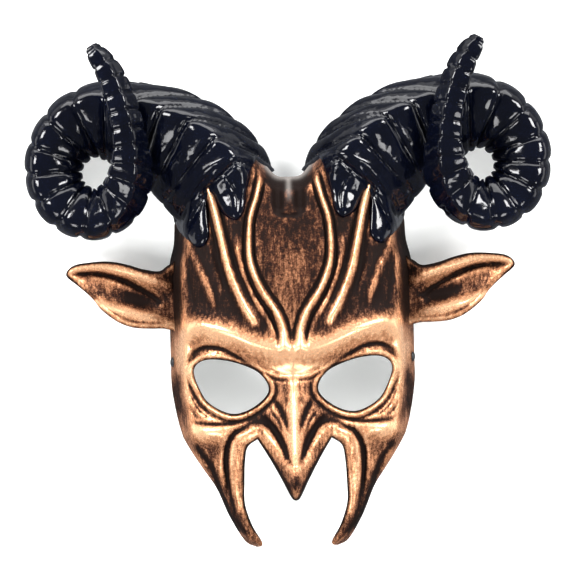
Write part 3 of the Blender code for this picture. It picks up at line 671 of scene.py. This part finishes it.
def make_face(material):
    flat, tris = region(face_loops(FINE), FINE)
    x, z = flat.T
    front = relief(x, z)
    back = inner_relief(x, z, front)
    face = two_sided("face", flat, tris, front, back, material)
    small, large = hollow_map(front, tris)
    tone = face_tone(np.abs(x), z, small, large)
    paint(face, "tone", tone)
    paint(face, "bare", np.zeros_like(tone), 1.0)
    # pale grey painted highlight on the notch's edge and the rib below it
    paint(face, "notch_highlight", notch_painted_highlight(np.abs(x), z))
    belongs(face, "face_shell")


# --- the horns --------------------------------------------------------
# the right horn from root to tip: (x, z, height, width)
HORN_LINE = [
    (33, 55, 20, 64), (42.6, 67, 29, 70), (53, 79, 30, 70), (65, 89, 28, 67),
    (81, 98, 24, 62), (99, 104.5, 22, 55), (117, 106, 22, 48), (130, 100, 23, 43),
    (139.5, 87.5, 25, 38), (141.2, 72, 28, 35.5), (134, 57.5, 31, 34), (118.5, 50.5, 35, 32),
    (103.5, 56, 41, 30), (95.5, 68, 47, 28), (93.2, 81, 52, 24.5), (94, 94, 55, 20.5),
    (96.4, 108.5, 57, 19), (100.3, 122.5, 58, 17.5), (106, 135.5, 59, 15.5),
    (112.8, 145.5, 59, 11.5), (115, 149, 59, 6.5)]
# the section's front at the arch, loop and tip, and its back: (outward, height) over the width
ARCH = [(0.5, -0.2), (0.4, 0.06), (0.24, 0.34), (0.02, 0.28), (-0.27, 0.14), (-0.5, -0.12)]
LOOP = [(0.5, -0.2), (0.46, 0.08), (0.33, 0.33), (0.04, 0.31), (-0.27, 0.15), (-0.47, -0.12)]
TIP = [(0.5, -0.2), (0.32, 0.08), (0.12, 0.36), (-0.18, 0.37), (-0.44, 0.33), (-0.5, -0.12)]
BACK = [(-0.4, -0.24), (0, -0.3), (0.4, -0.28)]
HORN_RING, SECTION_POINTS = 1.1, 72  # spacing of the rings, and points in each
BACK_START = 28                      # the back half leaves out the rings inside the face
# (distance along the horn, spacing of the ribs), and (part of the way, size of the ribs)
RIB_PITCH = [(0, 18), (60, 16), (110, 13), (150, 11.5), (250, 10.5), (290, 10), (440, 8.5)]
RIB_SIZE = [(0, 0.5), (0.08, 1.2), (0.25, 1.2), (0.4, 0.85), (1, 0.85)]
LOBE_FINE = 0.9
LOBES = [(19.5, 83.5), (21.3, 74), (24.8, 60), (26.2, 49.5), (29, 45), (32.8, 43.3), (38.7, 46.4),
         (43.2, 53.7), (47.1, 62.2), (49.2, 63), (48.4, 48), (47.6, 35), (51.2, 28.8),
         (57, 28), (63.1, 33.6), (69.4, 41.3), (70.5, 50), (62, 66), (50, 79), (31, 86.5)]
# creases between the lobes' plates: (points, half width, depth)
LOBE_CREASES = [
    ([(38.5, 72), (31.5, 58), (31.5, 46)], 1.0, 1.2),
    ([(43, 75), (60, 56), (66, 45)], 1.1, 1.4),
    ([(45, 69), (54, 52), (63, 37)], 1.1, 1.4),
]


def section(part):
    """The horn's closed section at a part of its way, as parts of its width."""
    arch, loop, tip = (np.array(s) for s in (ARCH, LOOP, TIP))
    first = smooth_step(0.22, 0.42, part)
    last = smooth_step(0.6, 0.74, part)
    front = (arch * (1 - first) + loop * first) * (1 - last) + tip * last
    corners = np.vstack([front, BACK])
    ring = resample(np.vstack([corners, corners[:1]]), 1.0 / 400)[:-1]
    ring = ring[np.linspace(0, len(ring), SECTION_POINTS, endpoint=False).astype(int)]
    rounder = smooth_step(0.26, 0.36, part) * smooth_step(0.66, 0.6, part)
    for _ in range(2 + round(7 * float(rounder))):
        ring = 0.5 * ring + 0.25 * (np.roll(ring, 1, 0) + np.roll(ring, -1, 0))
    keel = int(np.argmin(np.hypot(*(ring - front[2]).T)))
    return ring, keel


def rib_relief(run, girth, part, pitch):
    """Height of the overlapping ribs at a distance along and a distance from the keel."""
    arch = 1 - float(smooth_step(0.2, 0.36, part))
    at = run + np.where(girth < 0, 0.7 * arch + 0.12, 0.04) * np.abs(girth)
    steps = np.arange(0, 520, 1.0)
    count = np.cumsum(1 / np.interp(steps, *zip(*RIB_PITCH)))
    turn = np.interp(at, steps, count) % 1
    edge = np.minimum(turn, 1 - turn) * pitch
    swell = 1 - np.abs(2 * turn - 1) ** 2.3
    square = float(smooth_step(0.58, 0.7, part))
    size = float(np.interp(part, *zip(*RIB_SIZE)))
    groove = 1.6 * bell(edge, 0.8 + 0.2 * arch - 0.1 * square)
    return size * ((1.5 - 0.9 * square) * swell - groove + 0.6 * (1 - square) * (turn - 0.5))


def section_normals(ring):
    """The unit normals of a section's points, out of the horn."""
    tangent = np.roll(ring, -1, 0) - np.roll(ring, 1, 0)
    normal = np.stack([tangent[:, 1], -tangent[:, 0]], axis=1)
    normal /= np.linalg.norm(normal, axis=1)[:, None]
    return normal if np.sum(normal * ring) > 0 else -normal


def way_round(ring, keel):
    """Each point's distance round the section from the keel, below 0 on the outer side."""
    girth = np.cumsum(np.linalg.norm(ring - np.roll(ring, 1, 0), axis=1))
    half = girth[-1] / 2
    return (girth - girth[keel] + half) % girth[-1] - half


def horn_grid():
    """Rings of points (x, z, h) round the right horn, from root to tip."""
    line = spline(HORN_LINE, HORN_RING)
    along = np.gradient(line[:, :2], axis=0)
    along /= np.linalg.norm(along, axis=1)[:, None]
    outward = np.stack([-along[:, 1], along[:, 0]], axis=1)
    run = np.concatenate([[0], np.cumsum(np.linalg.norm(np.diff(line[:, :2], axis=0), axis=1))])
    rings = []
    for k, (x, z, h, width) in enumerate(line):
        part = k / (len(line) - 1)
        ring, keel = section(part)
        ring = ring * width
        girth = way_round(ring, keel)
        pitch = float(np.interp(run[k], *zip(*RIB_PITCH)))
        ribs = rib_relief(run[k], girth, part, pitch) * min(1, width / 18)
        bend = (1 - smooth_step(0.25, 0.4, part)) * smooth_step(0.35, 0.6, girth / width)
        ring = ring + section_normals(ring) * (ribs * (1 - 0.8 * bend))[:, None]
        flat = np.array([x, z]) + ring[:, :1] * outward[k]
        rings.append(np.column_stack([flat, h + ring[:, 1]]))
    return np.array(rings)


def horn_half(name, rings, columns, material, side):
    """One half shell: the chosen columns of every ring, closed across the seam."""
    part = rings[:, columns]
    points = part.reshape(-1, 3)
    verts = to_world(side * points[:, 0], points[:, 1], points[:, 2])
    return new_piece(name, verts, tube_faces(*part.shape[:2]), material)


def horn_height(front, x, z, side):
    """How high the horn's front stands over each point, far below where there is none."""
    mesh = front.data
    tree = BVHTree.FromPolygons([v.co for v in mesh.vertices],
                                [tuple(p.vertices) for p in mesh.polygons])
    heights = np.full(len(x), -50.0)
    for k, (px, pz) in enumerate(zip(x, z)):
        hit = tree.ray_cast(Vector((side * px * MM, -0.3, (pz - HOOK_Z) * MM)), Vector((0, 1, 0)))[0]
        if hit is not None:
            heights[k] = HOOK_H - hit.y / MM
    return heights


def lobe_patch(front, side):
    """The black lobes over the forehead, blended up into the horn's front."""
    edge = spline(LOBES, LOBE_FINE, closed=True)
    flat, tris = region([edge[:-1]], LOBE_FINE)
    x, z = flat.T
    rim, _ = nearest(x, z, edge, 60)
    slope = 0.1 * np.clip(rim - 6, 0, 30)
    form = plain_relief(x, z) + 4.6 * round_edge(rim, 6.5) - 1.0 + slope
    crease = sum(line_relief(x, z, *line) for line in LOBE_CREASES)
    cover = horn_height(front, x, z, side) - 1.6 + 2.2 * smooth_step(0, 5, rim)
    top = -smooth_min(-form, -cover, 7)
    return flat, tris, top - crease, np.minimum(plain_relief(x, z), top) - 3


def make_horn(side, name, material):
    rings = horn_grid()
    split = int(np.argmin(np.hypot(*(section(0.5)[0] - [-0.5, -0.15]).T)))
    front = horn_half(name + "_horn_front", rings, list(range(0, split + 1)), material, side)
    back_columns = list(range(split, SECTION_POINTS)) + [0]
    back = horn_half(name + "_horn_back", rings[BACK_START:], back_columns, material, side)
    flat, tris, top, under = lobe_patch(front, side)
    lobes = two_sided(name + "_horn_lobes", flat, tris, top, under, material, side)
    belongs(front, name + "_horn_front_shell")
    belongs(back, name + "_horn_back_shell")
    belongs(lobes, name + "_horn_front_shell")


# --- the ears ---------------------------------------------------------
EAR = [(70.5, 20.5), (75.5, 17.5), (80.5, 14.6), (90.7, 16.3), (98.7, 18.9), (109, 21.1),
       (120, 21.1), (131.9, 19.2), (136.5, 13.4), (130, 7.1), (124.8, 2.6), (120, -2.3),
       (116.5, -7.2), (111, -12.2), (104, -16.8), (96, -19.5), (86, -20.3), (78, -20.5),
       (70.5, -22.5)]
EAR_RIDGE = [(133, 15.2), (126, 17.2), (114.3, 17.0), (97, 13), (86, 9), (76, 6)]
EAR_FOLD = [(132.6, 14.2), (120.3, 14.2), (108.4, 11.6), (96.5, 6.2), (87, 1), (80, -4)]
EAR_LIP = [(118, -3.4), (104, -8.4), (88.6, -12.4), (78, -13)]
EAR_RIM_LINE = [(126, 6.6), (117, -2.4), (107.5, -10.6), (97, -15.6), (86, -16.8), (76, -17)]
EAR_H, EAR_TIP_H = 18.0, 23.0        # heights of the ear's root and tip
EAR_FINE, EAR_BACK_TONE = 0.9, 0.42


def ear_plane(x):
    return np.interp(x, [70, 136], [EAR_H, EAR_TIP_H])


def ear_relief(x, z):
    """A dished leaf: broad rolled upper rim over a deep fold, bowl, and a fine lower rim."""
    edge, _ = nearest(x, z, spline(EAR, 1.5), 60)
    ridge, part = nearest(x, z, spline(EAR_RIDGE, 1.5), 60)
    form = ear_plane(x) - 3.2 * smooth_step(1.5, 9, edge)
    form += (2.2 + 2.2 * smooth_step(0.2, 0.8, part)) * bell(ridge, 2.2 + 1.6 * part)
    form -= line_relief(x, z, EAR_FOLD, 1.9, 4.2)
    form -= 4.2 * spot(x, z, 92, -2.5, 17, 6.5, 0.25)
    form += line_relief(x, z, EAR_LIP, 3.4, 2.6)
    form -= line_relief(x, z, EAR_RIM_LINE, 0.9, 1.3)
    form -= 1.4 * bell(edge, 1.1)
    return form + 1.6 * spot(x, z, 79, -6.5, 2.6, 2.2)


# painted shades of the ear, and a painted highlight on the lower lip: (x, z, half width, half height,
# turn, change of tone)
EAR_SHADES = [
    (93, -2, 13, 4.5, 0.25, -0.75), (119.5, 2, 7, 3, 0.5, -0.35), (76, 8, 6, 18, 0, -0.45),
    (103, -8, 15, 3.2, 0.28, 0.25), (88, 15, 10, 2.6, 0.1, -0.35), (112, 8, 12, 4, 0.3, -0.1),
]


def ear_tone(x, z, rim, small, large):
    tone = 0.6 - 0.4 * np.clip(small, -0.6, 1.0) - 0.08 * np.clip(large, -2, 2.5)
    tone += shading(x, z, EAR_SHADES)
    tone -= 0.55 * smooth_step(2.4, 0.4, rim) * smooth_step(4, 10, z)
    # painted highlights along the ear's upper ridge and its lower lip
    for line, wide in ((EAR_RIDGE, 1.8), (EAR_LIP, 2.4)):
        tone += 0.36 * stripe(x, z, line, wide, 1.5) * smooth_step(78, 90, x)
    return tone


def seat_on_side_wall(ear, side):
    """Moves the root's points out to just inside the shell's sloping side wall."""
    for vert in ear.data.vertices:
        limit = side_wall_x(HOOK_H - vert.co.y / MM) - 1.2
        if abs(vert.co.x) / MM < limit:
            vert.co.x = side * limit * MM


def make_ear(side, name, material):
    edge = spline(EAR, EAR_FINE)
    flat, tris = region([edge], EAR_FINE)
    x, z = flat.T
    rim, _ = nearest(x, z, edge, 20)
    front = ear_relief(x, z)
    thick = 2.6 + 9.4 * (1 - smooth_step(80, 98, x))
    back = ear_plane(x) - 3.4 * smooth_step(2, 9, rim) - thick
    ear = two_sided(name + "_ear_leaf", flat, tris, front, np.minimum(back, front - 1.4),
                    material, side)
    seat_on_side_wall(ear, side)
    tone = ear_tone(x, z, rim, *hollow_map(front, tris))
    paint(ear, "tone", tone, EAR_BACK_TONE)
    belongs(ear, name + "_ear")


# --- strap, slider, fasteners and pads --------------------------------
HOOK_R = 3.0
RIVET_Z, RIVET_H = -41.3, 10.0
STRAP_WIDTH, STRAP_THICK, STRAP_RING = 9.0, 1.2, 0.6
WASHER, WASHER_R, RIVET_R, RIVET_HEAD_R = 1.0, 3.8, 1.3, 3.0
HORN_SCREWS = [(37, 73), (51, 62)]
EAR_SCREW_Z, EAR_SCREW_H = -2.0, 9.0
SCREW_R, SCREW_HEAD_R, SCREW_HEAD, SCREW_BITE = 1.4, 3.2, 2.0, 4.5
GAP = 0.3                            # clearance between fastened pieces
TURN_STEPS = 48                      # points round a turned piece
RECESS = [(-1.8, 1.8), (-0.375, 0.375), (-1.1, 1.1)]
SLIDER_AT = 40.0                     # from the lower end of the strap's straight run
# the slider's side and cross bars: spans along the strap, out of its plane and across it
SLIDER_BARS = [
    [(-6, 6), (-2.2, 2.2), (4.9, 6.6)], [(-6, 6), (-2.2, 2.2), (-6.6, -4.9)],
    [(-6, -4.2), (1, 2.2), (-5.2, 5.2)], [(4.2, 6), (1, 2.2), (-5.2, 5.2)],
    [(-1.2, 1.2), (-2.2, -1), (-5.2, 5.2)],
]
BROW_PAD = [(-42, 10), (-38, 1), (0, -4), (38, 1), (42, 10), (38, 19), (0, 15), (-38, 19)]
NOSE_PAD = [(-9, -48), (0, -46), (9, -48), (9, -60), (0, -64), (-9, -60)]


def world_point(x, z, h):
    return Vector((x * MM, (HOOK_H - h) * MM, (z - HOOK_Z) * MM))


def on_face(x, z, side):
    """Point and outward direction on the face's plain surface, on either side."""
    one, two = np.array([float(x)]), np.array([float(z)])
    gx, gz = slopes(one, two)
    out = Vector((-gx[0] * side, -1, -gz[0])).normalized()
    return world_point(side * x, z, plain_relief(one, two)[0]), out


def turned(name, start, direction, profile, material, ring=False, recess=False):
    """A profile of (distance along, radius) in mm turned round an axis.

    A ring's profile comes back to its start. A recess is a screw head's cross.
    """
    axis = direction.normalized()
    one = axis.orthogonal().normalized()
    two = axis.cross(one)
    verts = [start + (axis * along + (one * math.cos(a) + two * math.sin(a)) * radius) * MM
             for along, radius in profile for a in np.arange(TURN_STEPS) * math.tau / TURN_STEPS]
    piece = new_piece(name, verts, tube_faces(len(profile), TURN_STEPS, ring), material)
    if recess:
        cross_recess(piece, start + axis * profile[0][0] * MM, axis, one, two)
    piece.data.set_sharp_from_angle(angle=math.radians(38))
    return piece


def block(name, place, spans, material):
    """A block with the given span along each of three directions; place finds a corner."""
    corners = [(a, b, c) for a in spans[0] for b in spans[1] for c in spans[2]]
    faces = [(0, 1, 3, 2), (4, 6, 7, 5), (0, 4, 5, 1), (2, 3, 7, 6), (0, 2, 6, 4), (1, 5, 7, 3)]
    return new_piece(name, [place(*corner) for corner in corners], faces, material, smooth=False)


def combine(piece, tools, operation):
    """Joins the tools to the piece, or cuts them out of it."""
    for tool in tools:
        mod = piece.modifiers.new(tool.name, "BOOLEAN")
        mod.operation = operation
        mod.object = tool
    bake(piece)
    for tool in tools:
        bpy.data.objects.remove(tool, do_unlink=True)


def bake(piece):
    """Applies the piece's modifiers."""
    evaluated = piece.evaluated_get(bpy.context.evaluated_depsgraph_get())
    mesh = bpy.data.meshes.new_from_object(evaluated)
    piece.modifiers.clear()
    piece.data = mesh


def cross_recess(piece, centre, axis, one, two):
    """Cuts a small cross into the head, as a screwdriver needs."""
    arms = []
    for along, across in ((one, two), (two, one)):
        def place(a, b, c):
            return centre + (along * a + across * b + axis * c) * MM
        arms.append(block(piece.name + "_recess", place, RECESS, piece.data.materials[0]))
    combine(piece, arms, "DIFFERENCE")


def make_screw(label, node, x, z, side, material):
    spot_at, out = on_face(x, z, side)
    seat = -SHELL - GAP * 2
    head = [(seat - SCREW_HEAD, 0.4), (seat - SCREW_HEAD, 1.6), (seat - 0.86 * SCREW_HEAD, 2.4),
            (seat - 0.6 * SCREW_HEAD, 3.0), (seat - 0.3, SCREW_HEAD_R), (seat - 0.05, 3.15),
            (seat, 2.9), (seat, SCREW_R)]
    turns = 7
    shank = []
    for k in range(turns * 2):
        at = seat + 0.4 + k * (SCREW_BITE - 1 - seat) / (turns * 2)
        shank.append((at, SCREW_R if k % 2 else 0.78 * SCREW_R))
    shank.append((SCREW_BITE, 0.3))
    screw = turned(label, spot_at, out, head + shank, material, recess=True)
    belongs(screw, node)


def make_rivet(side, name, black, zinc):
    spot_at, out = on_face(side_wall_x(RIVET_H), RIVET_Z, side)
    depth = SHELL + STRAP_THICK + WASHER + 3 * GAP
    dome = [(-GAP - 1.6 * math.cos(a), max(0.15, RIVET_HEAD_R * math.sin(a)))
            for a in np.linspace(0.04, math.pi / 2, 12)]
    body = [(-GAP, RIVET_HEAD_R - 0.15), (-GAP, RIVET_R), (depth, RIVET_R), (depth, 2.1),
            (depth + 0.3, 2.25), (depth + 0.7, 2.1), (depth + 1.0, 1.4), (depth + 1.1, 0.2)]
    rivet = turned(name + "_rivet", spot_at, -out, dome + body, black)
    belongs(rivet, name + "_strap_rivet")
    start = spot_at - out * (SHELL + STRAP_THICK + 2 * GAP) * MM
    hole = RIVET_R + GAP
    ring = [(0, hole + 0.1), (0.1, hole), (0.9, hole), (1.0, hole + 0.1), (1.0, WASHER_R - 0.2),
            (0.9, WASHER_R), (0.1, WASHER_R), (0, WASHER_R - 0.2)]
    washer = turned(name + "_washer", start, -out, ring, zinc, ring=True)
    belongs(washer, name + "_strap_washer")


def strap_end():
    """Centre of the strap at the right rivet (x, h) and the tilt of the wall there."""
    _, out = on_face(side_wall_x(RIVET_H), RIVET_Z, 1)
    sink = SHELL + GAP + STRAP_THICK / 2
    return (side_wall_x(RIVET_H) - out.x * sink, RIVET_H + out.y * sink,
            math.atan2(-out.y, out.x))


def strap_run():
    """The right half of the strap, from the hook down past the rivet: (x, z) points."""
    x, _, _ = strap_end()
    knee = np.array([x, RIVET_Z + 9])
    top = np.array([0.0, HOOK_Z - HOOK_R])
    slope = math.atan2(top[1] - knee[1], knee[0] - top[0])
    arc = [(HOOK_R * math.sin(a), top[1] + HOOK_R * math.cos(a))
           for a in np.linspace(0, math.pi / 2 - slope + 0.6, 4)]
    start = np.array(arc[-1])
    straight = [start + (knee - start) * t for t in (0.04, 0.25, 0.5, 0.75, 0.93)]
    foot = [(x, RIVET_Z + 6), (x, RIVET_Z + 3), (x, RIVET_Z), (x, RIVET_Z - 3), (x, RIVET_Z - 6)]
    return np.array([*arc, *straight, *foot])


def strap_section():
    """The band's ribbed section: (across, through) points in mm, with rounded edges."""
    across = np.linspace(-STRAP_WIDTH / 2, STRAP_WIDTH / 2, 41)
    edge = np.sqrt(np.clip(1 - (np.abs(across) / (STRAP_WIDTH / 2)) ** 8, 0, 1))
    cords = 0.09 * np.abs(np.sin(across * math.pi / 1.1))
    thick = (STRAP_THICK / 2 - 0.09) * (0.35 + 0.65 * edge) + cords * edge
    top = np.column_stack([across, thick])
    return np.vstack([top, top[::-1][1:-1] * [1, -1]])


def make_strap(material):
    run = strap_run()
    _, h_end, tilt = strap_end()
    path = spline(np.vstack([run[::-1] * [-1, 1], run[1:]]), STRAP_RING)
    along = np.gradient(path, axis=0)
    along /= np.linalg.norm(along, axis=1)[:, None]
    section_points = strap_section()
    verts, lengths = [], []
    for k, ((x, z), (ax, az)) in enumerate(zip(path, along)):
        near = float(smooth_step(RIVET_Z + 26, RIVET_Z + 7, z))
        turn = tilt * near
        h = HOOK_H + (h_end - HOOK_H) * near
        flat = np.array([-az, ax, 0])
        wide = np.array([0, 0, 1.0])
        normal = flat * math.cos(turn) + wide * math.sin(turn)
        across = wide * math.cos(turn) - flat * math.sin(turn)
        pick = 1 + 0.06 * math.sin(k * STRAP_RING * math.tau / 1.8)
        for a, b in section_points:
            verts.append(np.array([x, z, h]) + a * across + b * pick * normal)
            lengths.append((k * STRAP_RING, a))
    verts = to_world(*np.array(verts).T)
    faces = tube_faces(len(path), len(section_points))
    strap = new_piece("strap", verts, faces, material)
    set_attribute(strap, "along", [a for a, _ in lengths])
    set_attribute(strap, "across", [b for _, b in lengths])
    belongs(strap, "elastic_strap")


def make_slider(material):
    """The moulded length slider: a frame with a middle bar behind the strap."""
    run = strap_run()
    low, high = run[-6], run[4]      # between the arc's four points and the foot's five
    along = (high - low) / np.linalg.norm(high - low)
    centre = low + along * SLIDER_AT
    out = np.array([along[1], -along[0]])

    def place(t, n, w):
        return world_point(*(centre + along * t + out * n), HOOK_H + w)

    slider, *others = [block("slider", place, spans, material) for spans in SLIDER_BARS]
    combine(slider, others, "UNION")
    bevel = slider.modifiers.new("bevel", "BEVEL")
    bevel.width = 0.45 * MM
    bevel.segments = 3
    bevel.limit_method = "ANGLE"
    bake(slider)
    slider.data.shade_smooth()
    slider.data.set_sharp_from_angle(angle=math.radians(40))
    belongs(slider, "strap_slider", "slider")


def make_pad(name, node, outline, thick, material):
    """A foam pad against the shell: rounded edges and a slightly domed free face."""
    loop = spline(outline, 0.8, closed=True)
    flat, tris = region([loop[:-1]], 0.8)
    x, z = flat.T
    against = inner_relief(x, z, plain_relief(x, z) + 5) - 2.0
    edge, _ = nearest(x, z, loop, 12)
    round_off = 1 - round_edge(edge, 1.8)
    front = against - 0.9 * round_off
    back = against - thick + 1.6 * round_off - 0.25 * np.clip(edge - 2, 0, 4) / 4
    pad = two_sided(name, flat, tris, front, np.minimum(back, front - 0.3), material)
    belongs(pad, node)


# --- room, lights and camera ------------------------------------------
WALL_Y, WALL_TOP, FLOOR_Z = 0.0135, 1.2, -0.42
ROOM_X, ROOM_Y = 1.6, 2.4
LIGHT_AIM = (0, 0, -0.05)
# name, place, size, power
LIGHTS = [
    ("key_left", (-0.75, -0.75, 0.55), (0.38, 0.38), 18),
    ("key_right", (0.8, -0.7, 0.5), (0.34, 0.34), 15),
    ("top", (0, -0.1, 1.0), (1.5, 0.5), 14),
    ("sky", (0, 0.0, 0.62), (2.2, 0.5), 3.6),
    ("low_left", (-0.52, -0.85, -0.42), (0.34, 0.34), 5.5),
    ("low_right", (0.55, -0.85, -0.42), (0.3, 0.3), 4.5),
    ("side_left", (-1.3, 0.05, 0.1), (0.5, 1.0), 4),
    ("side_right", (1.3, 0.05, 0.1), (0.5, 1.0), 4),
]
CAMERA_AT, CAMERA_ROLL, CAMERA_LENS = (-0.0006, -1.53, -0.0518), -1.4, 155


def stage_plane(name, near, far, material):
    """A side of the room between two edges at (y, z), which the gloss doesn't mirror."""
    mesh = bpy.data.meshes.new(name)
    corners = [(-ROOM_X, *near), (ROOM_X, *near), (ROOM_X, *far), (-ROOM_X, *far)]
    mesh.from_pydata(corners, [], [(0, 1, 2, 3)])
    mesh.materials.append(material)
    thing = put_in_scene(name, mesh)
    thing.visible_glossy = False


def wall_paint():
    """Pale matt wall, seen only from the side the mask hangs on."""
    n = Nodes("wall_paint")
    mix = n.tree.nodes.new("ShaderNodeMixShader")
    n.feed(mix.inputs[0], n.add("NewGeometry", "Backfacing"))
    n.feed(mix.inputs[1], n.shader.outputs[0])
    n.feed(mix.inputs[2], n.add("BsdfTransparent", "BSDF"))
    n.feed(n.tree.nodes["Material Output"].inputs["Surface"], mix.outputs[0])
    return n.finish(Base_Color=(0.86, 0.86, 0.85, 1), Roughness=0.9, Emission_Strength=0.3,
                    Emission_Color=(0.97, 1, 0.98, 1))


def make_room(zinc):
    """Wall, floor, and the nail that the strap hangs on."""
    stage_plane("wall", (WALL_Y, FLOOR_Z), (WALL_Y, WALL_TOP), wall_paint())
    ground = Nodes("floor_paint").finish(Base_Color=(0.84, 0.84, 0.83, 1), Roughness=0.85)
    stage_plane("floor", (-ROOM_Y, FLOOR_Z), (ROOM_Y, FLOOR_Z), ground)
    centre = world_point(0, HOOK_Z - HOOK_R, HOOK_H)
    nail = turned("hook_nail", centre, Vector((0, -1, 0)),
                  [(-13, 2.1), (6.2, 2.1), (6.2, 3.4), (7.2, 3.4), (7.8, 2.4), (7.9, 0.2)], zinc)


def area_light(name, place, size, power):
    lamp = bpy.data.lights.new(name, "AREA")
    lamp.shape = "RECTANGLE"
    lamp.size, lamp.size_y = size
    lamp.energy = power
    thing = put_in_scene(name, lamp)
    thing.location = place
    thing.rotation_mode = "QUATERNION"
    thing.rotation_quaternion = (Vector(LIGHT_AIM) - Vector(place)).to_track_quat("-Z", "Y")
    thing.visible_camera = False


def make_lights():
    world = bpy.data.worlds.new("studio")
    world.use_nodes = True
    background = world.node_tree.nodes["Background"]
    background.inputs["Color"].default_value = (0.9, 0.93, 1.0, 1)
    background.inputs["Strength"].default_value = 0.27
    bpy.context.scene.world = world
    for light in LIGHTS:
        area_light(*light)


def make_camera():
    data = bpy.data.cameras.new("camera")
    data.sensor_width = 36
    data.lens = CAMERA_LENS
    camera = put_in_scene("camera", data)
    level = Matrix.Rotation(math.radians(90), 4, "X")
    roll = Matrix.Rotation(math.radians(CAMERA_ROLL), 4, "Z")
    camera.matrix_world = Matrix.Translation(CAMERA_AT) @ level @ roll
    bpy.context.scene.camera = camera


def main():
    copper = copper_paint()
    gloss = horn_gloss()
    black = satin_black("black_zinc", 0.25, 0.4)
    moulded = satin_black("moulded_plastic", 0.35, 0.5, 1800)
    zinc = steel()
    make_face(copper)
    for side, name in ((-1, "left"), (1, "right")):
        make_horn(side, name, gloss)
        make_ear(side, name, copper)
        make_rivet(side, name, black, zinc)
        for k, (x, z) in enumerate(HORN_SCREWS, 1):
            make_screw(f"{name}_crown_screw_{k}", f"{name}_horn_screw_{k}", x, z, side, zinc)
        make_screw(f"{name}_temple_screw", f"{name}_ear_screw", side_wall_x(EAR_SCREW_H),
                   EAR_SCREW_Z, side, zinc)
    make_strap(elastic_weave())
    make_slider(moulded)
    foam = foam_skin()
    make_pad("brow_pad", "brow_foam_pad", BROW_PAD, 5, foam)
    make_pad("nose_pad", "nose_foam_pad", NOSE_PAD, 4, foam)
    make_room(zinc)
    make_lights()
    make_camera()
    bpy.context.scene.view_settings.view_transform = "Standard"


main()
